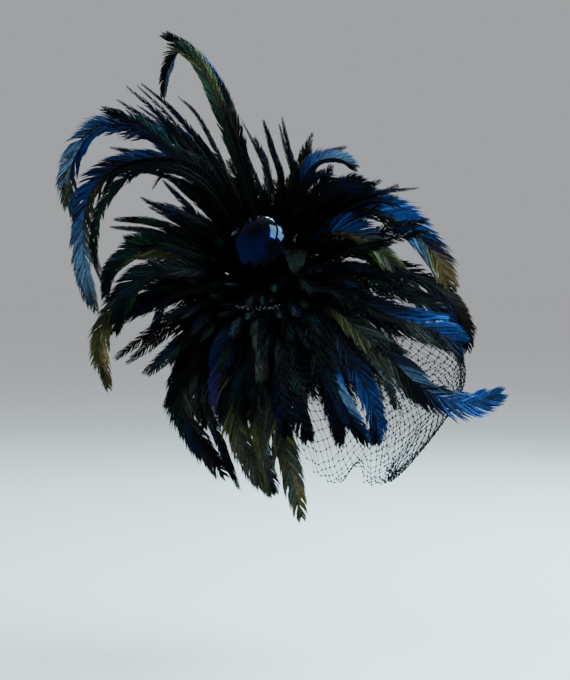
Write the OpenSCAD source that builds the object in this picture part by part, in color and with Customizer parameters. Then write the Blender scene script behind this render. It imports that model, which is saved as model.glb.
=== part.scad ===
// Fascinator headpiece: a felt cap that clips to the hair, a raised stand with a round plaque,
// a glass ball in front of the plaque, rooster and hackle feathers sewn round it, and a net veil.
// +Z is up, -Y is the way the wearer faces, and the origin is where the crown of the head meets
// the cap. The trimming is laid out in its own frame, in which X runs across the display side of
// the piece, Y runs away from it and Z is up; place_trim() turns that frame to the wearer's right.

/* [Cap] */
// Radius of the head under the cap
head_r = 90; // [86:1:94]
// Depth of the cap, from its crown to its edge
cap_depth = 30; // [26:1:32]
// Thickness of the stiffened felt shell
shell_t = 2.2; // [1.6:0.1:2.6]
// Thickness of the satin lining
lining_t = 0.8; // [0.5:0.1:1]
// Thickness of the ribbon sweatband
band_t = 0.8; // [0.5:0.1:1]
// Height of the ribbon sweatband
band_h = 12; // [8:1:14]
// Radius of the millinery wire in the cap's edge
edge_wire_r = 0.6; // [0.4:0.1:0.8]
// Radius of the piping round that wire
piping_r = 1.5; // [1.2:0.1:1.6]

/* [Comb and clips] */
// Radius of the comb's wire teeth
tooth_r = 0.6; // [0.5:0.1:0.8]
// Angle of the comb's spine, in degrees from the crown
comb_angle = 45; // [43:1:46]
// Angle from the crown to each clip, in degrees
clip_angle = 33; // [31:1:35]
// Width of a clip's lower jaw
jaw_w = 6.2; // [5.6:0.1:6.4]
// Radius of a clip's pin
pin_r = 0.75; // [0.7:0.01:0.78]

/* [Stand and plaque] */
// Radius of the stand where it meets the cap
stand_r1 = 38; // [34:1:40]
// Radius of the stand behind the plaque
stand_r2 = 27; // [24:1:30]
// Wall of the stand
stand_t = 2; // [1.6:0.1:2.4]
// Radius of the round plaque that the feathers are sewn to
plaque_r = 42; // [40:1:44]
// Thickness of the plaque
plaque_t = 3; // [2.5:0.1:3]

/* [Ball and beads] */
// Radius of the glass ball
ball_r = 33; // [32:0.5:33]
// Wall of the glass ball
ball_t = 1.2; // [1:0.1:1.6]
// Radius of each bead in the strand under the ball
bead_r = 1.35; // [1.2:0.05:1.38]

/* [Feathers] */
// Thickness of a plume's vane
plume_t = 1; // [0.8:0.1:1.2]
// Width of a short hackle feather
hackle_w = 15; // [12:1:16]
// Feathers in the row nearest the ball
inner_count = 22; // [16:1:24]
// Feathers in the middle row
middle_count = 26; // [18:1:28]
// Feathers in the outer row
outer_count = 30; // [20:1:32]
// Feathers in the collar that covers the cap
collar_count = 34; // [24:1:36]
// Feathers behind the plaque
back_count = 20; // [12:1:22]

/* [Veil] */
// Thickness allowed for the net
net_t = 0.8; // [0.6:0.1:1]
// Radius of the tape that gathers the net on the cap
tape_r = 50; // [49:0.5:51]

/* [Hidden] */

// the display side is turned this far towards the wearer's right
display_turn = -50;
head_c = [0, 0, -head_r];
cap_r = head_r + lining_t + shell_t;

// centre of the ball and the way that it and the plaque face, in the trimming's frame
ball_c = [-39, -50, 87];
face_n = unit([-0.2, -0.8, 0.57]);
plaque_c = ball_c - 40 * face_n;
across_n = unit(cross([0, 0, 1], face_n));
up_n = cross(face_n, across_n);
stand_foot = [-4, -4, -8];

// clip sizes: jaw length ahead of the pin, lever behind it, sheet thickness and pin depth
jaw_len = 22;
lever_len = 11;
sheet_t = 0.7;
pin_z = -3;
clip_w = 8;
clip_seat = head_r - 4;
pin_gap = 0.05;
lever_drop = 28;

// rings along a long plume and along a short hackle
plume_rings = 9;
hackle_rings = 5;

function unit(v) = v / norm(v);
function mix(a, b, t) = a + (b - a) * t;
function smooth(t) = let (c = max(0, min(1, t))) c * c * (3 - 2 * c);

// a smooth curve through hand-placed points, at u from 0 to 1
function spline_at(p, u) =
    let (n = len(p) - 1, s = min(floor(u * n), n - 1), t = u * n - s)
    let (b = p[s], c = p[s + 1])
    let (a = s > 0 ? p[s - 1] : 2 * b - c, d = s + 2 <= n ? p[s + 2] : 2 * c - b)
    0.5 * (2 * b + (c - a) * t + (2 * a - 5 * b + 4 * c - d) * t * t
        + (3 * b - a - 3 * c + d) * t * t * t);
function curve(p, rings) = [for (i = [0 : rings]) spline_at(p, i / rings)];

// half the width of a vane at u: bare quill, full vane, then a long point
function vane(u) = min(1, 0.12 + 2.2 * u) * pow(1 - 0.94 * pow(u, 3), 0.6);

// one feather: a flat diamond section swept along a path, with its flat side facing `facing`
module feather(path, width, facing, thick = plume_t) {
    last = len(path) - 1;
    points = [
        for (i = [0 : last])
        let (along = unit(path[min(i + 1, last)] - path[max(i - 1, 0)]))
        let (side = unit(cross(along, facing)), out = cross(side, along))
        let (w = width / 2 * vane(i / last), t = thick / 2 * mix(1.2, 0.5, i / last))
        each [path[i] + side * w, path[i] + out * t, path[i] - side * w, path[i] - out * t]
    ];
    walls = [
        for (i = [0 : last - 1], k = [0 : 3])
        let (a = 4 * i + k, b = 4 * i + (k + 1) % 4)
        // both faces of the vane are split the same way, so that they stay apart where it twists
        each k % 2 == 0
            ? [[a, b, b + 4], [a, b + 4, a + 4]]
            : [[a, b, a + 4], [b, b + 4, a + 4]]
    ];
    tip = [for (k = [0 : 3]) 4 * last + k];
    polyhedron(points = points, faces = concat([[3, 2, 1, 0]], walls, [tip]));
}

// a plume's root lies on the plaque, on the side that the plume leaves by
function plume_root(first, r, lift) =
    let (flat = first - plaque_c - ((first - plaque_c) * face_n) * face_n)
    plaque_c + unit(flat) * r + face_n * lift;
module plume(points, width, r = 30, lift = 2) {
    place_trim()
        feather(curve(concat([plume_root(points[0], r, lift)], points), plume_rings), width,
            [0.15, -1, 0.1]);
}

module place_trim() { rotate([0, 0, display_turn]) children(); }

// puts children's +Z along the line from p to q
module aim(p, q) {
    d = q - p;
    translate(p) rotate([0, acos(d.z / norm(d)), atan2(d.y, d.x)]) children();
}

// a layer of the cap between two radii, cut off level at z_low and z_high
module cap_layer(r_in, r_out, z_low, z_high) {
    difference() {
        translate(head_c) sphere(r_out, $fn = 96);
        translate(head_c) sphere(r_in, $fn = 96);
        translate([-150, -150, z_low - 300]) cube([300, 300, 300]);
        translate([-150, -150, z_high]) cube([300, 300, 300]);
    }
}

module base_cap() {
    color("#16161a") cap_layer(head_r + lining_t, cap_r, -cap_depth, 50);
}

module cap_lining() {
    color("#22222a") cap_layer(head_r, head_r + lining_t, -cap_depth, 50);
}

module sweatband() {
    color("#0c0c10") cap_layer(head_r - band_t, head_r, -cap_depth, -cap_depth + band_h);
}

edge_z = -cap_depth - piping_r - 0.1;
edge_r = sqrt(pow(head_r + 1.5, 2) - pow(head_r - cap_depth, 2));

module edge_wire() {
    color("silver") translate([0, 0, edge_z])
        rotate_extrude($fn = 96) translate([edge_r, 0]) circle(edge_wire_r, $fn = 24);
}

module edge_piping() {
    color("#101014") translate([0, 0, edge_z])
        rotate_extrude($fn = 96) translate([edge_r, 0]) difference() {
            circle(piping_r, $fn = 24);
            circle(edge_wire_r + 0.05, $fn = 24);
        }
}

// the comb lies on a sphere inside the cap: a bowed spine with nine wire teeth that run back
comb_r = head_r - 2.5;
comb_half = 24;
module wire_comb() {
    spine_r = comb_r * sin(comb_angle);
    spine_z = -head_r + comb_r * cos(comb_angle);
    color("silver") {
        translate([0, 0, spine_z]) rotate([0, 0, -90 - comb_half - 2])
            rotate_extrude(angle = 2 * comb_half + 4, $fn = 96)
            translate([spine_r, 0]) circle(1, $fn = 24);
        for (a = [-comb_half : 6 : comb_half]) {
            x = spine_r * sin(a);
            rho = sqrt(comb_r * comb_r - x * x);
            start = acos(comb_r * cos(comb_angle) / rho);
            translate([x, 0, -head_r]) rotate([0, 90, 0]) rotate([0, 0, 180 + start - 26])
                rotate_extrude(angle = 26, $fn = 96) translate([rho, 0])
                circle(tooth_r, $fn = 24);
        }
    }
}

// clips hang under the lining, one at each side, with their tips towards the face
module place_clip(side) {
    translate(head_c) rotate([0, side * clip_angle, 0]) translate([0, 0, clip_seat])
        rotate([0, 0, -90]) children();
}
// an ear with a pin hole, standing down from a jaw's sheet
module clip_ear(y, hole_r, top) {
    translate([0, y, 0]) difference() {
        union() {
            translate([-2.2, 0, pin_z]) cube([4.4, sheet_t, top - pin_z]);
            translate([0, 0, pin_z]) rotate([-90, 0, 0]) cylinder(h = sheet_t, r = 2.2, $fn = 32);
        }
        translate([0, -1, pin_z]) rotate([-90, 0, 0]) cylinder(h = sheet_t + 2, r = hole_r, $fn = 32);
    }
}
module clip_base(side) {
    color("silver") place_clip(side) {
        translate([-lever_len, -clip_w / 2, -sheet_t]) cube([lever_len + jaw_len, clip_w, sheet_t]);
        for (y = [-clip_w / 2, clip_w / 2 - sheet_t]) clip_ear(y, pin_r, -sheet_t / 2);
    }
}
jaw_top = -sheet_t - 0.15;
module clip_jaw(side) {
    color("silver") place_clip(side) difference() {
        union() {
            translate([2, -jaw_w / 2, jaw_top - sheet_t]) cube([jaw_len - 2, jaw_w, sheet_t]);
            translate([-1.4, -jaw_w / 2, pin_z - 1.2]) rotate([0, -lever_drop, 0])
                translate([1.6 - lever_len, 0, -sheet_t]) cube([lever_len - 1.4, jaw_w, sheet_t]);
            for (y = [-jaw_w / 2, jaw_w / 2 - sheet_t])
                translate([0, y + sheet_t, 0]) rotate([90, 0, 0]) linear_extrude(sheet_t)
                    polygon([
                        [-2.6, pin_z + 0.8], [2.2, jaw_top - 0.1], [7, jaw_top - 0.1],
                        [7, jaw_top - 0.6], [2.4, pin_z - 1.6], [-1.2, pin_z - 1.8],
                        [-4.5, pin_z - 3.2]
                    ]);
        }
        translate([0, -jaw_w, pin_z]) rotate([-90, 0, 0])
            cylinder(h = 2 * jaw_w, r = pin_r + pin_gap, $fn = 32);
    }
}
module clip_pin(side) {
    color("silver") place_clip(side)
        translate([0, -clip_w / 2 - 0.5, pin_z]) rotate([-90, 0, 0]) {
            cylinder(h = clip_w + 1, r = pin_r, $fn = 32);
            cylinder(h = 0.5, r = pin_r + 0.5, $fn = 32);
            translate([0, 0, clip_w + 0.5]) cylinder(h = 0.5, r = pin_r + 0.5, $fn = 32);
        }
}
// the spring's coil lies round the pin, between the jaw's ears
module clip_spring(side) {
    color("gray") place_clip(side) {
        for (k = [-3 : 3])
            translate([0, 0.48 * k, pin_z]) rotate([90, 0, 0])
                rotate_extrude($fn = 32) translate([1.2, 0]) circle(0.25, $fn = 16);
    }
}

module clip_base_left() { clip_base(1); }
module clip_jaw_left() { clip_jaw(1); }
module clip_pin_left() { clip_pin(1); }
module clip_spring_left() { clip_spring(1); }
module clip_base_right() { clip_base(-1); }
module clip_jaw_right() { clip_jaw(-1); }
module clip_pin_right() { clip_pin(-1); }
module clip_spring_right() { clip_spring(-1); }

// a hollow cone from the cap to the back of the plaque
stand_len = norm(plaque_c - stand_foot) + 20;
module stand() {
    color("#141418") place_trim() difference() {
        aim(stand_foot, plaque_c) cylinder(h = stand_len, r1 = stand_r1, r2 = stand_r2, $fn = 64);
        aim(stand_foot, plaque_c) translate([0, 0, -1])
            cylinder(h = stand_len + 2, r1 = stand_r1 - stand_t, r2 = stand_r2 - stand_t, $fn = 64);
        translate(head_c) sphere(cap_r + 0.1, $fn = 96);
        aim(plaque_c, ball_c) translate([-100, -100, -plaque_t]) cube([200, 200, 200]);
    }
}

module plaque() {
    color("#16161a") place_trim() aim(plaque_c, ball_c) translate([0, 0, -plaque_t]) difference() {
        cylinder(h = plaque_t, r = plaque_r, $fn = 64);
        translate([0, 0, -1]) cylinder(h = plaque_t + 2, r = 1, $fn = 24);
    }
}

// the ball's open neck points back at the plaque
neck_r = 6;
neck_end = 38;
module glass_ball() {
    color("#101c66") place_trim() aim(ball_c, plaque_c) difference() {
        union() {
            sphere(ball_r, $fn = 96);
            cylinder(h = neck_end, r = neck_r, $fn = 48);
        }
        sphere(ball_r - ball_t, $fn = 96);
        cylinder(h = neck_end + 1, r = neck_r - 1, $fn = 48);
    }
}
module ball_cap() {
    color("silver") place_trim() aim(ball_c, plaque_c) difference() {
        translate([0, 0, ball_r - 0.4]) cylinder(h = 39 - ball_r + 0.4, r = neck_r + 1.2, $fn = 48);
        cylinder(h = neck_end + 0.1, r = neck_r + 0.1, $fn = 48);
        cylinder(h = 50, r = 1, $fn = 24);
    }
}
// the wire that holds the ball: a stop inside its cap, and a washer and a knot behind the plaque
module ball_stem() {
    color("silver") place_trim() aim(ball_c, plaque_c) {
        translate([0, 0, neck_end - 1]) cylinder(h = 8, r = 0.9, $fn = 24);
        translate([0, 0, neck_end - 1]) cylinder(h = 0.8, r = 3, $fn = 24);
        translate([0, 0, 40 + plaque_t]) cylinder(h = 1, r = 5, $fn = 32);
        translate([0, 0, 40 + plaque_t + 2]) sphere(1.8, $fn = 32);
    }
}

// a strand of beads set to and fro on a thread, bowed a little under the ball
strand_beads = 19;
strand_r = 110;
strand_half = 11;
strand_c = [-41, -88, 138];
module bead_strand() {
    color("#b8c8d8") place_trim() translate(strand_c) rotate([90, 0, 0]) {
        for (i = [0 : strand_beads - 1])
            rotate([0, 0, -90 - strand_half + i * 2 * strand_half / (strand_beads - 1)])
                translate([strand_r + 1.5 * (i % 2), 0, 0]) sphere(bead_r, $fn = 24);
        rotate([0, 0, -90 - strand_half]) rotate_extrude(angle = 2 * strand_half, $fn = 192)
            translate([strand_r + 0.75, 0]) circle(0.3, $fn = 16);
    }
}

// fine pale strands that spread from beside the ball
fan_root = [-8, -62, 62];
module flue_fan() {
    color("#7da08c") place_trim()
        for (i = [0 : 10]) {
            lean = -20 + 3.4 * i;
            reach = 27 - 0.25 * abs(i - 5);
            from = fan_root + [0.9 * i, 0, 0];
            mid = from + [sin(lean) * reach / 2, -11, cos(lean) * reach / 2];
            end = from + [sin(lean) * reach, -18, cos(lean) * reach];
            feather(curve([from, mid, end], 4), 0.8, [0, -1, 0], 0.6);
        }
}

// one short feather of a row round the plaque: it leaves at `angle`, leans towards the front by
// `lean` and droops with its own weight
module hackle(angle, r, length, lean, droop, width) {
    out = across_n * cos(angle) + up_n * sin(angle);
    start = plaque_c + out * r + face_n * 1.5;
    way = out * cos(lean) + face_n * sin(lean);
    path = [
        for (i = [0 : hackle_rings])
        let (t = i / hackle_rings)
        start + way * length * t + (out * length * 0.25 - [0, 0, droop]) * t * t
    ];
    place_trim() feather(path, width, face_n * cos(lean) - out * sin(lean));
}
// keeps a point of a feather's path above the cap
function above_cap(p) =
    let (d = norm(p - head_c))
    d < cap_r + 4 ? head_c + (p - head_c) * (cap_r + 4) / d : p;
// rows are set a little unevenly, as sewn by hand
function uneven(i, k) = sin(k * i * i + 57 * i);

module hackles_inner() {
    color("#0b0b10")
        for (i = [0 : inner_count - 1])
            hackle(360 * i / inner_count + 5 * uneven(i, 131), 37, 54 + 8 * uneven(i, 47),
                46 + 6 * uneven(i, 83), 6, hackle_w);
}
module hackles_middle() {
    color("#0c0d14")
        for (i = [0 : middle_count - 1])
            hackle(360 * (i + 0.5) / middle_count + 5 * uneven(i, 97), 34, 74 + 10 * uneven(i, 61),
                30 + 7 * uneven(i, 29), 12, hackle_w);
}
module hackles_outer() {
    color("#0d0f16")
        for (i = [0 : outer_count - 1])
            hackle(360 * i / outer_count + 5 * uneven(i, 71), 38, 92 + 14 * uneven(i, 37),
                12 + 8 * uneven(i, 53), 20, hackle_w + 1);
}
// the collar lies on the cap all round and hangs past its edge
module hackles_collar() {
    color("#0c0e13")
        for (i = [0 : collar_count - 1]) {
            turn = 360 * i / collar_count + 4 * uneven(i, 89);
            span = 46 + 6 * uneven(i, 43);
            path = [
                for (k = [0 : hackle_rings])
                let (t = k / hackle_rings, fall = 27 + span * t, reach = cap_r + 2.5 + 9 * t)
                head_c + reach * [sin(fall) * cos(turn), sin(fall) * sin(turn), cos(fall)]
            ];
            feather(path, hackle_w + 3, unit(path[2] - head_c));
        }
}
// the back row hides the stand and falls towards the back of the cap
module hackles_back() {
    color("#0b0c11")
        for (i = [0 : back_count - 1]) {
            turn = -20 + 220 * i / (back_count - 1) + 4 * uneven(i, 67);
            length = 62 + 12 * uneven(i, 31);
            side = across_n * cos(turn) + up_n * sin(turn);
            start = plaque_c - face_n * (plaque_t + 2) + side * 36;
            path = [
                for (k = [0 : hackle_rings])
                let (t = k / hackle_rings)
                above_cap(start + side * length * 0.6 * t - face_n * length * 0.75 * t
                    - [0, 0, 34] * t * t)
            ];
            place_trim() feather(path, hackle_w + 2, unit(side + [0, 0, 0.3]));
        }
}

// the long plumes: each list holds the places that one plume passes after it leaves the plaque
module plume_tall() {
    color("#10204a")
        plume([[-55, -12, 165], [-78, -8, 236], [-106, -2, 281], [-145, 6, 309]], 17);
}
module plume_crook() {
    color("#102818")
        plume([[-66, -22, 186], [-94, -20, 260], [-119, -16, 287], [-134, -12, 268],
            [-140, -8, 234]], 15, 26);
}
module plume_arch_upper() {
    color("#183878")
        plume([[-92, 0, 178], [-150, 8, 208], [-208, 16, 210], [-238, 20, 160],
            [-218, 24, 83]], 19);
}
module plume_arch_lower() {
    color("#142848")
        plume([[-96, -26, 165], [-160, -34, 176], [-208, -38, 145], [-217, -40, 80],
            [-202, -42, 13]], 20);
}
module plume_arch_inner() {
    color("#101418")
        plume([[-98, -40, 152], [-156, -50, 166], [-196, -54, 132], [-206, -56, 88],
            [-195, -56, 45]], 12, 24);
}
module spikes_upper_left() {
    color("#0d0f14") {
        plume([[-88, -16, 160], [-135, -16, 215], [-181, -12, 256]], 9, 34);
        plume([[-80, -30, 165], [-125, -36, 222], [-163, -36, 255]], 8, 28);
        plume([[-92, -6, 155], [-145, 0, 210], [-192, 4, 243]], 9, 36);
        plume([[-95, -26, 150], [-150, -30, 205], [-203, -30, 229]], 15, 32);
        plume([[-100, 6, 152], [-160, 14, 203], [-219, 22, 213]], 7, 30);
        plume([[-75, -36, 165], [-100, -46, 215], [-124, -50, 240]], 7, 25);
        plume([[-84, 10, 150], [-118, 22, 196], [-150, 30, 230]], 12, 38);
    }
}
module spikes_left() {
    color("#0e1014") {
        plume([[-95, -14, 140], [-150, -12, 165], [-212, -8, 176]], 8, 36);
        plume([[-95, -20, 146], [-145, -22, 178], [-197, -20, 190]], 9, 34);
        plume([[-90, -42, 105], [-118, -54, 135], [-138, -60, 156]], 9, 32);
        plume([[-92, -34, 98], [-130, -42, 122], [-162, -44, 139]], 9, 36);
        plume([[-90, -50, 108], [-125, -64, 126], [-155, -68, 132]], 10, 28);
        plume([[-100, -36, 92], [-145, -42, 112], [-190, -44, 116]], 12, 34);
        plume([[-100, -50, 85], [-148, -58, 103], [-193, -60, 108]], 9, 30);
        plume([[-98, -24, 80], [-140, -22, 96], [-183, -18, 99]], 12, 37);
        plume([[-95, -60, 78], [-130, -72, 88], [-162, -76, 88]], 10, 27);
        plume([[-102, -8, 132], [-136, -6, 160], [-152, -6, 146]], 8, 30);
    }
}
module spikes_top() {
    color("#0c0e12") {
        plume([[-28, -8, 150], [-44, -10, 188], [-62, -10, 223]], 5, 36);
        plume([[-18, -16, 150], [-28, -20, 188], [-38, -20, 220]], 9, 33);
        plume([[-4, -16, 150], [-12, -20, 190], [-19, -22, 223]], 8, 36);
        plume([[-38, -28, 140], [-48, -36, 168], [-57, -40, 192]], 5, 30);
        plume([[-32, 8, 140], [-36, 22, 176], [-48, 34, 206]], 10, 38);
    }
}
module plumes_crest_black() {
    color("#0c0d12") {
        plume([[0, -28, 138], [20, -34, 160], [44, -36, 152]], 12, 30);
        plume([[15, -32, 130], [45, -38, 150], [74, -40, 150]], 17, 34);
        plume([[22, -24, 118], [52, -26, 138], [82, -28, 140]], 17, 36);
        plume([[30, -30, 125], [72, -36, 141], [125, -36, 148]], 7, 28);
        plume([[34, -38, 116], [76, -46, 134], [112, -48, 122]], 7, 26);
        plume([[18, 4, 122], [46, 14, 148], [80, 18, 152]], 16, 38);
    }
}
module plume_side_upper() {
    color("#152420") plume([[-100, -38, 74], [-150, -46, 86], [-184, -50, 68], [-196, -52, 33]], 18);
}
module plume_side_long() {
    color("#12201c")
        plume([[-105, -50, 62], [-152, -60, 60], [-184, -64, 26], [-196, -66, -12],
            [-188, -66, -60]], 19);
}
module plume_side_front() {
    color("#101c24") plume([[-100, -62, 64], [-145, -78, 62], [-172, -82, 34], [-183, -82, 0]], 18);
}
module plumes_side_short() {
    color("#0e1214") {
        plume([[-100, -44, 42], [-145, -48, 32], [-190, -50, 8]], 14, 34);
        plume([[-92, -54, 48], [-130, -62, 38], [-145, -64, 8], [-143, -64, -14]], 10, 28);
        plume([[-96, -24, 56], [-138, -22, 50], [-172, -20, 26]], 17, 36);
    }
}
module plume_crest_blue() {
    color("#1c3c80") plume([[-4, -16, 138], [12, -20, 170], [36, -22, 178], [60, -22, 167]], 13, 32);
}
module plume_crest_bronze() {
    color("#5a5030") plume([[-12, -6, 148], [10, -6, 178], [52, -4, 192]], 8, 38);
}
module plume_right_upper() {
    color("#18407c") plume([[40, -26, 124], [88, -32, 122], [130, -36, 86], [154, -38, 42]], 25, 36);
}
module plume_right_olive() {
    color("#3a4226") plume([[30, -46, 102], [62, -54, 96], [102, -58, 58]], 22, 30);
}
module plume_right_long() {
    color("#111418")
        plume([[46, -30, 84], [100, -36, 66], [142, -40, 42], [164, -40, 10], [169, -40, -20]], 17, 37);
}
module plume_right_fork() {
    color("#12161c") plume([[50, -48, 68], [100, -58, 48], [142, -62, 18], [163, -62, -35]], 15, 34);
}
module plume_right_blue() {
    color("#183470") plume([[36, -74, 46], [80, -90, 24], [120, -90, 10], [162, -86, -10]], 25, 32);
}
module plume_right_upturned() {
    color("#1c4890")
        plume([[34, -88, 26], [78, -112, -12], [116, -120, -48], [158, -118, -62],
            [200, -114, -52]], 24, 36);
}
module drape_blue() {
    color("#1a3e88") plume([[28, -86, 14], [54, -112, -30], [71, -112, -72], [73, -104, -106]], 20, 30);
}
module drape_blue_edge() {
    color("#14284c") plume([[14, -92, 6], [32, -116, -44], [50, -116, -78], [68, -108, -106]], 18, 34);
}
module drapes_black() {
    color("#0c0e12") {
        plume([[0, -92, -2], [-2, -112, -60], [8, -112, -103]], 19, 30);
        plume([[12, -100, -2], [30, -118, -60], [40, -114, -110]], 17, 26);
        plume([[-16, -94, -6], [-16, -112, -56], [-12, -112, -98]], 17, 34);
        plume([[-46, -82, -2], [-54, -96, -44], [-50, -100, -84]], 18, 28);
    }
}
module drape_long() {
    color("#2c3022") plume([[-32, -86, -6], [-26, -106, -66], [-12, -112, -120], [3, -110, -183]], 21, 36);
}
module drape_grey() {
    color("#243028") plume([[-44, -90, -6], [-42, -104, -66], [-34, -110, -112], [-22, -110, -156]], 15, 38);
}
module drape_olive() {
    color("#3a4022") plume([[-60, -80, -4], [-66, -90, -62], [-52, -96, -114], [-25, -100, -156]], 22, 36);
}
module drapes_narrow() {
    color("#1a2420") {
        plume([[-82, -66, 0], [-92, -72, -60], [-78, -78, -106], [-57, -84, -157]], 11, 38);
        plume([[-88, -60, 8], [-101, -66, -46], [-94, -70, -96]], 14, 32);
    }
}
module drape_left() {
    color("#14202c") plume([[-96, -48, 14], [-117, -54, -50], [-108, -58, -92], [-70, -68, -146]], 21, 36);
}
module drape_violet() {
    color("#2a2c70") plume([[-70, -78, 0], [-77, -88, -48], [-68, -92, -94]], 19, 30);
}
module drape_cheek() {
    color("#0e1014") plume([[-94, -40, 30], [-118, -46, -6], [-122, -48, -36]], 19, 33);
}

// the net: it puffs up from its tape, swells out before the face and draws in at the hem.
// Each place gives the reach to the side and the height.
veil_profile = [
    [48, -9], [48, 24], [60, 46], [82, 46], [110, 14], [130, -20], [133, -42], [126, -66],
    [112, -96], [90, -132], [77, -148]
];
veil_from = -66;
veil_to = 96;
veil_cols = 30;
veil_rows = 12;
// how much further the net reaches forward than sideways
function veil_stretch(v) = 1 + 0.37 * min(1, v * 3) - 0.07 * smooth((v - 0.7) / 0.3);
// the net stands off ahead of the face and comes in closer beside it, above the hem
function veil_close(turn, v) =
    let (band = smooth((v - 0.12) * 4) * (1 - smooth((v - 0.6) / 0.4)))
    1 - 0.27 * band * (smooth((12 - turn) / 46) + smooth((turn - 40) / 50));
// the hem rises towards both ends of the net
function veil_end(turn) =
    let (t = turn < 0 ? turn / veil_from : turn / veil_to)
    1 - 0.3 * pow(t, 4);
function veil_at(turn, v, grow) =
    let (q = spline_at(veil_profile, v * veil_end(turn)))
    let (next = spline_at(veil_profile, v * veil_end(turn) + 0.01), way = unit(next - q))
    let (r = q.x * veil_close(turn, v) - way.y * grow)
    [r * sin(turn), -r * veil_stretch(v) * cos(turn), q.y + way.x * grow];
module veil_net() {
    n = (veil_cols + 1) * (veil_rows + 1);
    points = [
        for (grow = [0, net_t], c = [0 : veil_cols], r = [0 : veil_rows])
        veil_at(mix(veil_from, veil_to, c / veil_cols), r / veil_rows, grow)
    ];
    sides = [
        for (c = [0 : veil_cols - 1], r = [0 : veil_rows - 1])
        let (a = c * (veil_rows + 1) + r, b = a + veil_rows + 1)
        each [[a, a + 1, b + 1], [a, b + 1, b],
            [n + a, n + b + 1, n + a + 1], [n + a, n + b, n + b + 1]]
    ];
    rim = concat(
        [for (r = [0 : veil_rows]) r],
        [for (c = [1 : veil_cols]) c * (veil_rows + 1) + veil_rows],
        [for (r = [1 : veil_rows]) n - 1 - r],
        [for (c = [1 : veil_cols - 1]) (veil_cols - c) * (veil_rows + 1)]
    );
    edges = [
        for (i = [0 : len(rim) - 1])
        let (a = rim[i], b = rim[(i + 1) % len(rim)])
        each [[a, n + a, n + b], [a, n + b, b]]
    ];
    color("#202024") polyhedron(points = points, faces = concat(sides, edges));
}
tape_z = head_c.z + sqrt(cap_r * cap_r - tape_r * tape_r) + 0.3;
module veil_tape() {
    color("#101014") translate([0, 0, tape_z]) rotate([0, 0, -90 + veil_from])
        rotate_extrude(angle = veil_to - veil_from, $fn = 96)
        translate([tape_r, 0]) square([0.8, 6]);
}

base_cap();
cap_lining();
sweatband();
edge_wire();
edge_piping();
wire_comb();
clip_base_left();
clip_jaw_left();
clip_pin_left();
clip_spring_left();
clip_base_right();
clip_jaw_right();
clip_pin_right();
clip_spring_right();
stand();
plaque();
glass_ball();
ball_cap();
ball_stem();
bead_strand();
flue_fan();
veil_net();
veil_tape();
hackles_inner();
hackles_middle();
hackles_outer();
hackles_collar();
hackles_back();
plume_tall();
plume_crook();
plume_arch_upper();
plume_arch_lower();
plume_arch_inner();
spikes_upper_left();
spikes_left();
spikes_top();
plumes_crest_black();
plume_side_upper();
plume_side_long();
plume_side_front();
plumes_side_short();
plume_crest_blue();
plume_crest_bronze();
plume_right_upper();
plume_right_olive();
plume_right_long();
plume_right_fork();
plume_right_blue();
plume_right_upturned();
drape_blue();
drape_blue_edge();
drapes_black();
drape_long();
drape_grey();
drape_olive();
drapes_narrow();
drape_left();
drape_violet();
drape_cheek();
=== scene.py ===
import math
import zlib

import bpy
import numpy as np
from bpy.props import FloatProperty, FloatVectorProperty, IntProperty, PointerProperty
from mathutils import Matrix, Vector


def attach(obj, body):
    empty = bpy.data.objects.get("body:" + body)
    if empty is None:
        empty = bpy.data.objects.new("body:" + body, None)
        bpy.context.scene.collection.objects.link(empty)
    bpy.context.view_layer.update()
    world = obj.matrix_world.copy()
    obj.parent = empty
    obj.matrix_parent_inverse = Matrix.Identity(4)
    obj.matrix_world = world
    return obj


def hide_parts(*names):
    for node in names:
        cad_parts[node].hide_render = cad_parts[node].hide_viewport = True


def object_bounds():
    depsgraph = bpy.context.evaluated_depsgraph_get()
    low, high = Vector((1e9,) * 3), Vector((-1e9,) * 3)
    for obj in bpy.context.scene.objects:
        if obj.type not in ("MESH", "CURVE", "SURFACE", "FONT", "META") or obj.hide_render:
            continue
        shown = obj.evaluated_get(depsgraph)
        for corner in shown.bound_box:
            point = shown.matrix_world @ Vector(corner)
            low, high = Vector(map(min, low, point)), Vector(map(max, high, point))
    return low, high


bl_info = {
    "name": "Fascinator Headpiece",
    "version": (1, 0, 0),
    "blender": (4, 5, 0),
    "location": "View3D > Sidebar > Fascinator",
    "description": "Dresses the packed headpiece with feathers, a glass ball, beads and a net veil",
    "category": "Object",
}

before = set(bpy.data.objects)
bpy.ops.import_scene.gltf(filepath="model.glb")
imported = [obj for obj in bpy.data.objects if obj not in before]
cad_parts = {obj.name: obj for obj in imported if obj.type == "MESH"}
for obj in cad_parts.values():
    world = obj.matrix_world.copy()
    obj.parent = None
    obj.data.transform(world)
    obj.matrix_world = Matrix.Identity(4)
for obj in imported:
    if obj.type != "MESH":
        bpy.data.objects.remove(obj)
CAD_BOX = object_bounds()
MM = 0.001

# The trimming is laid out in its own frame: X across the display side, Y away from it, Z up.
DISPLAY_TURN = math.radians(-50)
HEAD_CENTRE = np.array([0.0, 0.0, -90.0])
CAP_R = 93.0


def unit(v):
    """A vector, or each row of an array of them, at length one."""
    v = np.asarray(v, dtype=float)
    return v / np.maximum(np.linalg.norm(v, axis=-1, keepdims=True), 1e-9)


BALL_CENTRE = np.array([-39.0, -50.0, 87.0])
BALL_R = 33.0
FACE_N = unit([-0.2, -0.8, 0.57])
PLAQUE_CENTRE = BALL_CENTRE - 40 * FACE_N
ACROSS_N = unit(np.cross([0, 0, 1], FACE_N))
UP_N = np.cross(FACE_N, ACROSS_N)
PLAQUE_T = 3.0
STAND_FOOT = np.array([-4.0, -4.0, -8.0])


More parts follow.
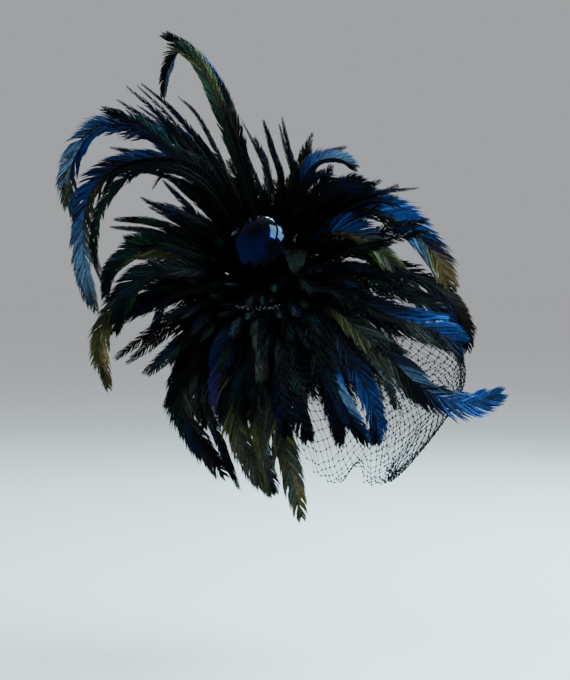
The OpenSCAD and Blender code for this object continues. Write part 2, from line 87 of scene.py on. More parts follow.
def to_object(points):
    """Points of the trimming's frame, in mm, as points of the object's frame, in metres."""
    p = np.atleast_2d(np.asarray(points, dtype=float))
    c, s = math.cos(DISPLAY_TURN), math.sin(DISPLAY_TURN)
    return np.stack([c * p[:, 0] - s * p[:, 1], s * p[:, 0] + c * p[:, 1], p[:, 2]], 1) * MM


# ------------------------------------------------------------------------------------------
# Settings that a user would change
# ------------------------------------------------------------------------------------------


def colour(name, words, value):
    """A colour setting."""
    return FloatVectorProperty(
        name=name, description=words, subtype="COLOR", size=3, default=value, min=0, max=1
    )


class FascinatorFeathers(bpy.types.PropertyGroup):
    """Sizes and colours of the feathers."""

    barb_gap: FloatProperty(
        name="Barb gap", description="Gap between barbs as a share of their reach",
        default=0.10, min=0.05, max=0.4,
    )
    barb_width: FloatProperty(
        name="Barb width", description="Half a barb's width as a share of its reach",
        default=0.064, min=0.02, max=0.3,
    )
    barb_thickness: FloatProperty(
        name="Barb thickness", description="Thickness of a barb",
        default=0.00028, min=0.0001, max=0.001, unit="LENGTH", precision=5,
    )
    black: colour("Black", "The feathers' own black", (0.0010, 0.0010, 0.0014))
    # The gloss colours night, blue, sky, teal, green, olive, bronze and violet are partly the
    # feathers' own iridescent colour and partly painted sheen; sky is mostly painted pale-blue
    # highlight.
    night: colour("Night blue", "Deep blue gloss", (0.005, 0.011, 0.042))
    blue: colour("Blue", "Strong blue gloss", (0.014, 0.055, 0.22))
    sky: colour("Pale blue", "Pale blue gloss", (0.15, 0.27, 0.44))
    teal: colour("Teal", "Blue-green gloss", (0.004, 0.026, 0.032))
    green: colour("Green", "Dark green gloss", (0.008, 0.030, 0.014))
    olive: colour("Olive", "Olive gloss", (0.075, 0.080, 0.028))
    bronze: colour("Bronze", "Bronze gloss", (0.20, 0.145, 0.055))
    brown: colour("Brown", "Brown of worn tips", (0.034, 0.024, 0.014))
    violet: colour("Violet", "Blue-violet gloss", (0.035, 0.028, 0.17))
    grey: colour("Grey", "Grey-green of the undersides", (0.060, 0.070, 0.062))
    quill: colour("Quill", "The feathers' shafts", (0.004, 0.003, 0.003))


class FascinatorVeil(bpy.types.PropertyGroup):
    """Sizes and colour of the net."""

    columns: IntProperty(
        name="Meshes across", description="Meshes of the net along its gathered edge",
        default=40, min=20, max=90,
    )
    rows: IntProperty(
        name="Rows", description="Rows of knots from the gathered edge to the hem",
        default=58, min=20, max=120,
    )
    thread_r: FloatProperty(
        name="Thread radius", description="Radius of the net's thread",
        default=0.00027, min=0.0001, max=0.0006, unit="LENGTH", precision=5,
    )
    dot_r: FloatProperty(
        name="Dot radius", description="Radius of the dot on each knot",
        default=0.0011, min=0.0002, max=0.002, unit="LENGTH", precision=5,
    )
    dye: colour("Net", "The net's thread", (0.002, 0.002, 0.0025))


class FascinatorBall(bpy.types.PropertyGroup):
    """Sizes and colours of the ball and the beads."""

    glass: colour("Mirror glass", "The ball's mirrored glass", (0.001, 0.009, 0.080))
    bead: colour("Beads", "The cut beads", (0.26, 0.31, 0.36))
    bead_r: FloatProperty(
        name="Bead radius", description="Radius of a bead",
        default=0.00135, min=0.0008, max=0.002, unit="LENGTH", precision=5,
    )
    flue: colour("Pale flue", "The fine strands beside the ball", (0.08, 0.13, 0.10))


class FascinatorStage(bpy.types.PropertyGroup):
    """The floor, the lights and the camera."""

    floor: colour("Floor", "The studio floor", (0.74, 0.74, 0.74))
    lens: FloatProperty(name="Lens", description="Focal length in mm", default=95, min=35, max=200)
    distance: FloatProperty(
        name="Distance", description="From the camera to the headpiece",
        default=1.8, min=0.5, max=6, unit="LENGTH",
    )
    lift: FloatProperty(
        name="Camera lift", description="How far the camera looks down",
        default=math.radians(2), min=-1, max=1, subtype="ANGLE",
    )


SETTINGS = {
    "fascinator_feathers": FascinatorFeathers,
    "fascinator_veil": FascinatorVeil,
    "fascinator_ball": FascinatorBall,
    "fascinator_stage": FascinatorStage,
}


# ------------------------------------------------------------------------------------------
# Node trees written as expressions
# ------------------------------------------------------------------------------------------


class Wire:
    """A node's output. Sums on it add Math nodes."""

    def __init__(self, net, socket):
        self.net = net
        self.socket = socket

    def sum(self, operation, left, right):
        return self.net.add("ShaderNodeMath", {0: left, 1: right}, operation=operation)

    def __add__(self, other):
        return self.sum("ADD", self, other)

    def __radd__(self, other):
        return self.sum("ADD", other, self)

    def __sub__(self, other):
        return self.sum("SUBTRACT", self, other)

    def __rsub__(self, other):
        return self.sum("SUBTRACT", other, self)

    def __mul__(self, other):
        return self.sum("MULTIPLY", self, other)

    def __rmul__(self, other):
        return self.sum("MULTIPLY", other, self)


class Net:
    """A node tree, and the one method that adds a node to it."""

    def __init__(self, tree):
        self.tree = tree

    def add(self, kind, values=None, out=0, **settings):
        """A node with these settings, fed with values or links, and the output asked for."""
        node = self.tree.nodes.new(kind)
        for key, value in settings.items():
            setattr(node, key, value)
        for key, value in (values or {}).items():
            for one in value if isinstance(value, list) else [value]:
                if isinstance(one, Wire):
                    self.tree.links.new(one.socket, node.inputs[key])
                else:
                    node.inputs[key].default_value = one
        return Wire(self, node.outputs[out]) if node.outputs else node

    def mix(self, factor, a, b):
        """A mix of two colours."""
        return self.add("ShaderNodeMix", {0: factor, 6: a, 7: b}, out=2, data_type="RGBA")


def shader(name, build, **fixed):
    """A material: build adds what varies and returns it by socket, and fixed is set directly."""
    material = bpy.data.materials.new(name)
    material.use_nodes = True
    tree = material.node_tree
    tree.nodes.clear()
    net = Net(tree)
    values = {key.replace("_", " "): value for key, value in fixed.items()}
    values.update(build(net))
    surface = net.add("ShaderNodeBsdfPrincipled", values)
    net.add("ShaderNodeOutputMaterial", {"Surface": surface})
    return material


def rgba(value):
    """A colour as a colour socket takes it."""
    return (*value, 1.0)


def grain(net, scale, detail=4.0, stretch=None):
    """Noise on the object's own place, drawn out along an axis if asked."""
    place = net.add("ShaderNodeTexCoord", out=3)
    if stretch:
        place = net.add("ShaderNodeMapping", {"Vector": place, "Scale": stretch})
    return net.add("ShaderNodeTexNoise", {"Vector": place, "Scale": scale, "Detail": detail})


def bump(net, height, depth):
    """A relief of this depth, in metres."""
    return net.add("ShaderNodeBump", {"Height": height, "Distance": depth, "Strength": 1.0})


def feather_finish(name):
    """Black feather with a coloured gloss that the barbs carry as an attribute, painted into the
    base colour: partly the feathers' own iridescent colour, partly painted sheen and glints.
    """

    def build(net):
        tint = net.add("ShaderNodeAttribute", attribute_name="tint")
        gloss = net.add("ShaderNodeAttribute", out=2, attribute_name="gloss")
        reach = net.add("ShaderNodeAttribute", out=2, attribute_name="reach")
        # Two noises break the painted sheen into fine glints and broad streaks.
        streak = grain(net, 260, 3)
        broad_sheen = grain(net, 45, 2)
        shade = gloss * (0.35 + 0.8 * reach + 1.1 * (streak - 0.5) + 0.6 * (broad_sheen - 0.5))
        black = rgba(bpy.context.scene.fascinator_feathers.black)
        clear = net.add("ShaderNodeClamp", {"Value": shade})
        return {
            "Base Color": net.mix(clear, black, tint),
            "Metallic": 0.8 * clear,
            "Roughness": 0.46 + 0.2 * streak - 0.16 * clear,
        }

    return shader(name, build, Specular_IOR_Level=0.06)


def felt_finish():
    def build(net):
        fibre = grain(net, 900, 6)
        cloud = grain(net, 60, 3)
        return {
            "Base Color": net.mix(cloud, rgba((0.002, 0.002, 0.003)), rgba((0.006, 0.006, 0.007))),
            "Roughness": 0.82 + 0.15 * fibre,
            "Normal": bump(net, fibre + 0.6 * cloud, 0.0006),
        }

    return shader("Black felt", build, Sheen_Weight=0.03, Specular_IOR_Level=0.08)


def satin_finish():
    def build(net):
        weave = grain(net, 700, 2, (1, 0.06, 1))
        # The fold noise shapes the folds and paints their shade: lighter base colour on raised
        # folds, darker in the hollows.
        fold_and_shade = grain(net, 35, 2)
        return {
            "Base Color": net.mix(fold_and_shade, rgba((0.010, 0.010, 0.014)), rgba((0.03, 0.03, 0.042))),
            "Roughness": 0.28 + 0.2 * weave,
            "Normal": bump(net, weave + fold_and_shade, 0.0003),
        }

    return shader("Black satin", build, Sheen_Weight=0.2)


def ribbon_finish():
    def build(net):
        place = net.add("ShaderNodeTexCoord", out=3)
        # The rib wave shapes the ribs and paints their shade: lighter base colour on the crests,
        # darker between them.
        rib_and_shade = net.add("ShaderNodeTexWave", {"Vector": place, "Scale": 320.0, "Distortion": 0.6},
                      out=1, bands_direction="Z")
        fray = grain(net, 500, 3)
        return {
            "Base Color": net.mix(rib_and_shade, rgba((0.006, 0.006, 0.008)), rgba((0.02, 0.02, 0.024))),
            "Roughness": 0.5 + 0.25 * fray,
            "Normal": bump(net, rib_and_shade + 0.3 * fray, 0.0002),
        }

    return shader("Black ribbed ribbon", build)


def steel_finish(name, shade, rough):
    def build(net):
        drawn = grain(net, 1500, 2, (1, 1, 0.08))
        stain = grain(net, 120, 4)
        dark = rgba(tuple(0.7 * c for c in shade))
        return {
            "Base Color": net.mix(stain, dark, rgba(shade)),
            "Roughness": rough + 0.12 * drawn,
            "Normal": bump(net, drawn, 0.00005),
        }

    return shader(name, build, Metallic=1.0)


def mirror_finish():
    def build(net):
        dye = bpy.context.scene.fascinator_ball.glass
        cloud = net.add("ShaderNodeClamp", {"Value": 5 * (grain(net, 34, 1) - 0.40)})
        deep = rgba((0.0004, 0.0040, 0.0100))
        return {
            "Base Color": net.mix(cloud, deep, rgba(dye)),
            "Roughness": 0.08 + 0.08 * cloud,
        }

    return shader("Blue mirror glass", build, Metallic=1.0, Coat_Weight=0.14, Coat_Roughness=0.02)


def bead_finish():
    def build(net):
        # Painted glints: noise sets pale patches of base colour on dark, as if facets caught the
        # light.
        painted_glint = net.add("ShaderNodeClamp", {"Value": 6 * (grain(net, 420, 1) - 0.48)})
        dye = bpy.context.scene.fascinator_ball.bead
        return {
            "Base Color": net.mix(painted_glint, rgba((0.02, 0.03, 0.05)), rgba(dye)),
            "Roughness": 0.05 + 0.1 * painted_glint,
        }

    return shader("Cut beads", build, Metallic=0.85, Coat_Weight=1.0, Coat_Roughness=0.03)


def net_finish():
    def build(net):
        dye = bpy.context.scene.fascinator_veil.dye
        worn = grain(net, 300, 3)
        return {
            "Base Color": net.mix(worn, rgba(dye), rgba((0.005, 0.005, 0.006))),
            "Roughness": 0.5 + 0.2 * worn,
        }

    return shader("Black net thread", build, Specular_IOR_Level=0.08)


def flue_finish():
    def build(net):
        dye = bpy.context.scene.fascinator_ball.flue
        streak = grain(net, 300, 3)
        return {
            "Base Color": net.mix(streak, rgba((0.03, 0.06, 0.05)), rgba(dye)),
            "Roughness": 0.4 + 0.3 * streak,
        }

    return shader("Pale green flue", build)


def floor_finish():
    def build(net):
        dye = bpy.context.scene.fascinator_stage.floor
        cloud = grain(net, 2, 3)
        pale = rgba(tuple(min(1.0, 1.04 * c) for c in dye))
        return {"Base Color": net.mix(cloud, rgba(dye), pale), "Roughness": 0.8 + 0.1 * cloud}

    return shader("Pale studio floor", build, Emission_Color=(0.8, 0.82, 0.85, 1),
                  Emission_Strength=0.11)


_finishes = {}


def finish(name):
    """Each material is made once, when a piece first asks for it."""
    makers = {
        "felt": felt_finish,
        "satin": satin_finish,
        "ribbon": ribbon_finish,
        "wire": lambda: steel_finish("Bright wire", (0.62, 0.62, 0.64), 0.22),
        "plate": lambda: steel_finish("Plated spring steel", (0.72, 0.72, 0.74), 0.14),
        "cap": lambda: steel_finish("Pressed aluminium", (0.80, 0.80, 0.82), 0.26),
        "mirror": mirror_finish,
        "bead": bead_finish,
        "net": net_finish,
        "flue": flue_finish,
        "plume": lambda: feather_finish("Glossy plume"),
        "hackle": lambda: feather_finish("Black hackle"),
        "floor": floor_finish,
    }
    if name not in _finishes:
        _finishes[name] = makers[name]()
    return _finishes[name]


# ------------------------------------------------------------------------------------------
# Pieces and node trees
# ------------------------------------------------------------------------------------------


def mesh_object(name, verts, faces=(), edges=()):
    """A new object at the origin with this mesh."""
    mesh = bpy.data.meshes.new(name)
    mesh.from_pydata([tuple(map(float, v)) for v in verts], edges, faces)
    obj = bpy.data.objects.new(name, mesh)
    bpy.context.scene.collection.objects.link(obj)
    return obj


def claim(piece, body, slot, *nodes):
    """Says what a finished piece rides on and hides the CAD nodes it stands for; its finish slot is
    not used.
    """
    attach(piece, body)
    if nodes:
        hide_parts(*nodes)
    return piece


def finish_nodes(material, *names):
    """A CAD node whose shape is right keeps it and gets a better material."""
    for name in names:
        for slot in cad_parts[name].material_slots:
            slot.material = material


def node_tree(name, inputs):
    """An empty geometry tree with a Geometry input and output and the named inputs."""
    tree = bpy.data.node_groups.new(name, "GeometryNodeTree")
    tree.interface.new_socket("Geometry", in_out="INPUT", socket_type="NodeSocketGeometry")
    tree.interface.new_socket("Geometry", in_out="OUTPUT", socket_type="NodeSocketGeometry")
    for label, kind in inputs.items():
        tree.interface.new_socket(label, in_out="INPUT", socket_type=kind)
    net = Net(tree)
    given = tree.nodes.new("NodeGroupInput")
    return tree, net, lambda label: Wire(net, given.outputs[label])


def close_tree(net, geometry, material):
    """Every tree ends in Realize Instances and Set Material."""
    whole = net.add("GeometryNodeRealizeInstances", {"Geometry": geometry})
    dressed = net.add("GeometryNodeSetMaterial", {"Geometry": whole, "Material": material})
    net.add("NodeGroupOutput", {"Geometry": dressed})


def bake(obj, tree, values):
    """Runs a tree on an object and leaves a plain mesh."""
    modifier = obj.modifiers.new(tree.name, "NODES")
    modifier.node_group = tree
    for item in tree.interface.items_tree:
        if item.item_type == "SOCKET" and item.in_out == "INPUT" and item.name in values:
            modifier[item.identifier] = values[item.name]
    depsgraph = bpy.context.evaluated_depsgraph_get()
    made = bpy.data.meshes.new_from_object(obj.evaluated_get(depsgraph))
    obj.modifiers.clear()
    old = obj.data
    obj.data = made
    made.name = obj.name
    bpy.data.meshes.remove(old)
    return obj


def set_attribute(mesh, name, kind, values):
    """Stores one value for each point of the mesh."""
    layer = mesh.attributes.new(name, kind, "POINT")
    key = {"FLOAT": "value", "FLOAT_VECTOR": "vector", "FLOAT_COLOR": "color"}[kind]
    layer.data.foreach_set(key, np.ascontiguousarray(values, dtype=np.float32).ravel())


_trees = {}


def barb_tree():
    """Sets a barb on every barb place, turned and sized by that place, beside the shafts."""
    if "barbs" in _trees:
        return _trees["barbs"]
    tree, net, given = node_tree(
        "Set barbs", {"Barb": "NodeSocketObject", "Finish": "NodeSocketMaterial"}
    )

    def read(kind, name):
        return net.add("GeometryNodeInputNamedAttribute", {"Name": name}, data_type=kind)

    split = tree.nodes.new("GeometryNodeSeparateGeometry")
    split.domain = "POINT"
    tree.links.new(given("Geometry").socket, split.inputs["Geometry"])
    tree.links.new(read("FLOAT", "barb").socket, split.inputs["Selection"])
    barb = net.add("GeometryNodeObjectInfo", {"Object": given("Barb")}, out="Geometry")
    turn = net.add("FunctionNodeEulerToRotation", {0: read("FLOAT_VECTOR", "turn")})
    barbs = net.add(
        "GeometryNodeInstanceOnPoints",
        {
            "Points": Wire(net, split.outputs["Selection"]),
            "Instance": barb,
            "Rotation": turn,
            "Scale": read("FLOAT_VECTOR", "size"),
        },
    )
    shafts = Wire(net, split.outputs["Inverted"])
    whole = net.add("GeometryNodeJoinGeometry", {"Geometry": [barbs, shafts]})
    close_tree(net, whole, given("Finish"))
    _trees["barbs"] = tree
    return tree


# ------------------------------------------------------------------------------------------
# Feathers
# ------------------------------------------------------------------------------------------


def barb_shape(half_width):
    """One closed three-sided barb that curves forward, one unit out, with its reach as shade."""
    out = [0.0, 0.82, 1.0]
    ahead = [0.0, 1.30, 2.0]
    wide = [1.0, 0.9]
    verts, shade = [], []
    for i, w in enumerate(wide):
        along = unit([out[i + 1] - out[max(i - 1, 0)], ahead[i + 1] - ahead[max(i - 1, 0)]])
        dx, dy = -along[1] * w * half_width, along[0] * w * half_width
        verts += [(out[i] + dx, ahead[i] + dy, 0), (out[i] - dx, ahead[i] - dy, 0)]
        verts += [(out[i], ahead[i], 1)]
        shade += [i / len(wide)] * 3
    verts.append((out[-1], ahead[-1], 0.3))
    shade.append(1.0)
    faces = [(0, 1, 2)]
    for i in range(len(wide) - 1):
        for k in range(3):
            a, b = 3 * i + k, 3 * i + (k + 1) % 3
            faces.append((a, a + 3, b + 3, b))
    last = 3 * (len(wide) - 1)
    faces += [(last + k, 3 * len(wide), last + (k + 1) % 3) for k in range(3)]
    obj = mesh_object("barb", verts, faces)
    set_attribute(obj.data, "reach", "FLOAT", shade)
    return obj


def spline_at(points, u):
    """The same smooth curve through given points as the frame's own parts follow."""
    p = np.asarray(points, dtype=float)
    n = len(p) - 1
    u = np.clip(np.asarray(u, dtype=float), 0, 1)
    s = np.minimum((u * n).astype(int), n - 1)
    t = (u * n - s)[..., None]
    ends = np.vstack([2 * p[0] - p[1], p, 2 * p[-1] - p[-2]])
    a, b, c, d = ends[s], ends[s + 1], ends[s + 2], ends[s + 3]
    return 0.5 * (
        2 * b + (c - a) * t + (2 * a - 5 * b + 4 * c - d) * t**2
        + (3 * b - a - 3 * c + d) * t**3
    )


def vane(u, point=3):
    """Half the vane's width at u: bare quill, full vane, then a point, blunt if point is high."""
    return np.minimum(1, 0.12 + 2.2 * u) * (1 - 0.94 * u**point) ** 0.6


def ripple(u, rng, count, size):
    """A smooth random wave along a feather."""
    wave = np.zeros_like(u)
    for k in range(1, count + 1):
        wave += rng.uniform(-1, 1) * np.sin(2 * math.pi * k * u + rng.uniform(0, 6.3)) / k
    return size * wave


def hue_at(stops, u):
    """The colour and the gloss along a feather from (place, colour name) stops; the gloss is how
    much coloured sheen, partly the feather's own and partly painted, goes into the base colour.
    """
    dyes = bpy.context.scene.fascinator_feathers
    places = [s[0] for s in stops]
    shades = np.array([tuple(getattr(dyes, s[1])) for s in stops])
    gloss = np.array([0.0 if s[1] == "black" else 1.0 for s in stops])
    tint = np.stack([np.interp(u, places, shades[:, k]) for k in range(3)], 1)
    return tint, np.interp(u, places, gloss)


def euler_of(x, y, z):
    """XYZ angles of the frames whose axes are the rows of x, y and z."""
    return np.stack(
        [
            np.arctan2(y[:, 2], z[:, 2]),
            np.arcsin(np.clip(-x[:, 2], -1, 1)),
            np.arctan2(x[:, 1], x[:, 0]),
        ],
        1,
    )


# a feather's path is followed this far, so that its last barbs end where the vane does
TIP = 0.965
# the least and the most that barbs stand apart, in mm
CLOSEST, WIDEST = 0.45, 1.3


class FeatherBundle:
    """Collects the shafts and barb places of the feathers that make one piece."""

    def __init__(self, name):
        self.name = name
        self.rng = np.random.RandomState(zlib.crc32(name.encode()) % 2**31)
        self.verts, self.faces, self.tints, self.glosses = [], [], [], []
        self.places, self.turns, self.sizes, self.barb_tints, self.barb_gloss = [], [], [], [], []

    def shaft(self, path, radius, tint):
        """A closed five-sided tapering tube along the path."""
        sides, rings = 5, len(path)
        along = unit(np.gradient(path, axis=0))
        across = unit(np.cross(along, [0.3, 0.5, 0.81]))
        other = np.cross(along, across)
        first = sum(len(v) for v in self.verts)
        ring = np.arange(sides) * 2 * math.pi / sides
        size = radius * np.linspace(1, 0.2, rings)
        verts = (
            path[:, None, :]
            + size[:, None, None] * np.cos(ring)[None, :, None] * across[:, None, :]
            + size[:, None, None] * np.sin(ring)[None, :, None] * other[:, None, :]
        ).reshape(-1, 3)
        for i in range(rings - 1):
            for k in range(sides):
                a, b = first + sides * i + k, first + sides * i + (k + 1) % sides
                self.faces.append((a, b, b + sides, a + sides))
        self.faces.append(tuple(first + k for k in reversed(range(sides))))
        self.faces.append(tuple(first + sides * (rings - 1) + k for k in range(sides)))
        self.verts.append(verts)
        self.tints.append(np.tile(tint, (len(verts), 1)))

    def feather(self, path_points, width, facing, right, left, loose=1.0, fluff=0.0, quill=0.75,
                fan=1.0, sparse=1.0, point=3):
        """One feather. right and left are the colour stops of its two sides; loose is how far
        the barbs part, fluff how much of the foot is down, sparse thins the barbs out, and a
        high point makes the tip blunt."""
        settings, rng = bpy.context.scene.fascinator_feathers, self.rng
        dense = spline_at(path_points, np.linspace(0, TIP, 160))
        travelled = np.concatenate([[0], np.cumsum(np.linalg.norm(np.diff(dense, axis=0), axis=1))])
        length = travelled[-1]
        steps = np.linspace(0, 1, 400)
        gap = np.clip(settings.barb_gap * width / 2 * vane(steps), CLOSEST, WIDEST) * sparse
        count_at = np.concatenate([[0], np.cumsum(np.diff(steps) * length / gap[1:])])
        barbs = int(count_at[-1])
        wobble = ripple(steps, rng, 4, 0.10 * loose)
        twist = ripple(steps, rng, 2, 0.3)
        # streaks of painted sheen along the feather
        sheen_streaks = ripple(steps, rng, 12, 0.5)
        for side, stops in ((1, right), (-1, left)):
            u = np.interp(np.arange(barbs) + rng.uniform(-0.3, 0.3, barbs), count_at, steps)
            u = u[u > 0.05]
            n = len(u)
            at = np.stack([np.interp(u * length, travelled, dense[:, k]) for k in range(3)], 1)
            ahead = np.stack(
                [np.interp(np.minimum(u + 0.01, 1) * length, travelled, dense[:, k])
                 - np.interp((np.minimum(u + 0.01, 1) - 0.02) * length, travelled, dense[:, k])
                 for k in range(3)], 1)
            t = unit(ahead)
            s = unit(np.cross(t, np.broadcast_to(facing, t.shape)))
            o = np.cross(s, t)
            roll = np.interp(u, steps, twist)[:, None]
            s, o = s * np.cos(roll) + o * np.sin(roll), o * np.cos(roll) - s * np.sin(roll)
            reach = width / 2 * vane(u, point) * (1 + np.interp(u, steps, wobble))
            reach *= rng.uniform(0.95, 1.04, n)
            part = rng.normal(0, 0.03 * loose, n)
            for _ in range(int(3 + 4 * loose + length / 60)):
                place, spread = rng.uniform(0.1, 0.98), rng.uniform(0.008, 0.03)
                depth = rng.uniform(0.02, 0.13) * loose
                away = (u - place) / spread
                part += depth * np.sign(away) * np.exp(-np.abs(away)) * 0.9
            lift = 0.16 + rng.normal(0, 0.07 * loose, n) + np.interp(u, steps, ripple(
                steps, rng, 5, 0.12 * loose))
            down = np.clip((fluff - u) / max(fluff, 1e-6), 0, 1) if fluff else np.zeros(n)
            part += down * rng.normal(0, 0.45, n)
            lift += down * rng.normal(0, 0.8, n)
            reach *= 1 + 0.5 * down
            x = side * s * np.cos(part)[:, None] + t * np.sin(part)[:, None]
            y = t * np.cos(part)[:, None] - side * s * np.sin(part)[:, None]
            x = unit(x * np.cos(lift)[:, None] - o * np.sin(lift)[:, None])
            z = np.cross(x, y)
            y = np.cross(z, x)
            forward = fan * (1.05 + 0.25 * u) * rng.uniform(0.92, 1.1, n)
            # Painted sheen: the gloss is broken into streaks along the feather, and random brighter
            # and darker barbs, partly painted glints, vary the coloured parts.
            tint, gloss = hue_at(stops, np.clip(u + rng.normal(0, 0.02, n), 0, 1))
            gloss *= np.clip(0.62 + np.interp(u, steps, sheen_streaks) + rng.normal(0, 0.28, n), 0, 1.3)
            shade = rng.lognormal(0, 0.3, n)[:, None]
            self.places.append(at)
            self.turns.append(euler_of(*(self.turned(v) for v in (x, y, z))))
            thick = np.full(n, settings.barb_thickness / MM)
            self.sizes.append(np.stack([reach, reach * forward, thick], 1))
            self.barb_tints.append(tint * shade)
            self.barb_gloss.append(gloss)
        self.shaft(dense[:: max(1, 160 // (6 + int(length / 14)))], quill, tuple(settings.quill))

    @staticmethod
    def turned(v):
        return to_object(v) / MM

    def make(self, finish_name, slot, *nodes):
        """The finished piece, as one plain closed mesh."""
        settings = bpy.context.scene.fascinator_feathers
        shaft = np.vstack(self.verts)
        places = np.vstack(self.places)
        obj = mesh_object(self.name, to_object(np.vstack([shaft, places])), self.faces)
        mesh, n, m = obj.data, len(shaft), len(places)
        size = np.vstack([np.ones((n, 3)), np.vstack(self.sizes)]) * MM
        tint = np.vstack([np.vstack(self.tints), np.vstack(self.barb_tints)])
        set_attribute(mesh, "barb", "FLOAT", np.r_[np.zeros(n), np.ones(m)])
        set_attribute(mesh, "turn", "FLOAT_VECTOR", np.vstack([np.zeros((n, 3)), *self.turns]))
        set_attribute(mesh, "size", "FLOAT_VECTOR", size)
        # tint and gloss carry the coloured gloss: the feathers' own iridescent colour with painted
        # sheen.
        set_attribute(mesh, "tint", "FLOAT_COLOR", np.hstack([tint, np.ones((n + m, 1))]))
        set_attribute(mesh, "gloss", "FLOAT", np.r_[np.zeros(n), np.concatenate(self.barb_gloss)])
        barb = barb_shape(settings.barb_width)
        bake(obj, barb_tree(), {"Barb": barb, "Finish": finish(finish_name)})
        bpy.data.objects.remove(barb)
        for name in ("barb", "turn", "size"):
            obj.data.attributes.remove(obj.data.attributes[name])
        return claim(obj, "headpiece", slot, *nodes)


# Black stops with a band of coloured gloss towards the tip, painted as sheen.
JET = [(0, "black"), (0.55, "black"), (0.8, "night"), (1, "black")]
JET_GREEN = [(0, "black"), (0.5, "black"), (0.78, "green"), (1, "black")]
JET_TEAL = [(0, "black"), (0.45, "black"), (0.7, "teal"), (1, "black")]
SOOT = [(0, "black"), (1, "black")]
DEFAULT_FACING = unit([0.15, -1, 0.1])


def plume_root(first, r, lift):
    """A plume's root lies on the plaque, on the side that the plume leaves by."""
    away = np.asarray(first, dtype=float) - PLAQUE_CENTRE
    flat = away - (away @ FACE_N) * FACE_N
    return PLAQUE_CENTRE + unit(flat) * r + FACE_N * lift


def plume(points, width, root=30, right=JET, left=JET, loose=1.0, layers=2):
    return dict(points=points, width=width, root=root, right=right, left=left, loose=loose,
                layers=layers)


# Each list holds the places that one plume passes after it leaves the plaque, as in the frame.
# The right and left stops lay each side's coloured gloss: partly the feather's own colour, partly
# painted sheen, and the sky stops paint pale-blue highlights.
UPPER_PLUMES = {
    "plume_tall": [
        plume([(-55, -12, 165), (-78, -8, 236), (-106, -2, 281), (-145, 6, 309)], 17,
              right=[(0, "black"), (0.40, "black"), (0.50, "brown"), (0.60, "black"),
                     (0.70, "blue"), (0.80, "night"), (1, "black")],
              left=[(0, "black"), (0.45, "black"), (0.56, "teal"), (0.72, "night"), (1, "black")]),
    ],
    "plume_crook": [
        plume([(-66, -22, 186), (-94, -20, 260), (-119, -16, 287), (-134, -12, 268),
               (-140, -8, 234)], 15, 26,
              right=[(0, "black"), (0.45, "black"), (0.64, "olive"), (0.8, "green"), (1, "black")],
              left=[(0, "black"), (0.6, "green"), (0.78, "olive"), (0.9, "sky"), (1, "green")]),
    ],
    "plume_arch_upper": [
        plume([(-92, 0, 178), (-150, 8, 208), (-208, 16, 210), (-238, 20, 160),
               (-218, 24, 83)], 19, loose=1.7,
              right=[(0, "black"), (0.3, "night"), (0.42, "blue"), (0.52, "sky"), (0.66, "blue"),
                     (0.76, "sky"), (0.86, "olive"), (1, "grey")],
              left=[(0, "black"), (0.45, "night"), (0.64, "blue"), (0.78, "night"),
                    (0.86, "olive"), (1, "grey")]),
    ],
    "plume_arch_lower": [
        plume([(-96, -26, 165), (-160, -34, 176), (-208, -38, 145), (-217, -40, 80),
               (-202, -42, 13)], 20, loose=1.6,
              right=[(0, "black"), (0.3, "black"), (0.42, "blue"), (0.55, "night"),
                     (0.68, "blue"), (0.84, "sky"), (1, "night")],
              left=[(0, "black"), (0.5, "black"), (0.66, "olive"), (0.76, "grey"),
                    (0.86, "sky"), (1, "olive")]),
    ],
    "plume_arch_inner": [
        plume([(-98, -40, 152), (-156, -50, 166), (-196, -54, 132), (-206, -56, 88),
               (-195, -56, 45)], 12, 24, right=JET_TEAL, left=JET_GREEN, loose=1.5),
    ],
}

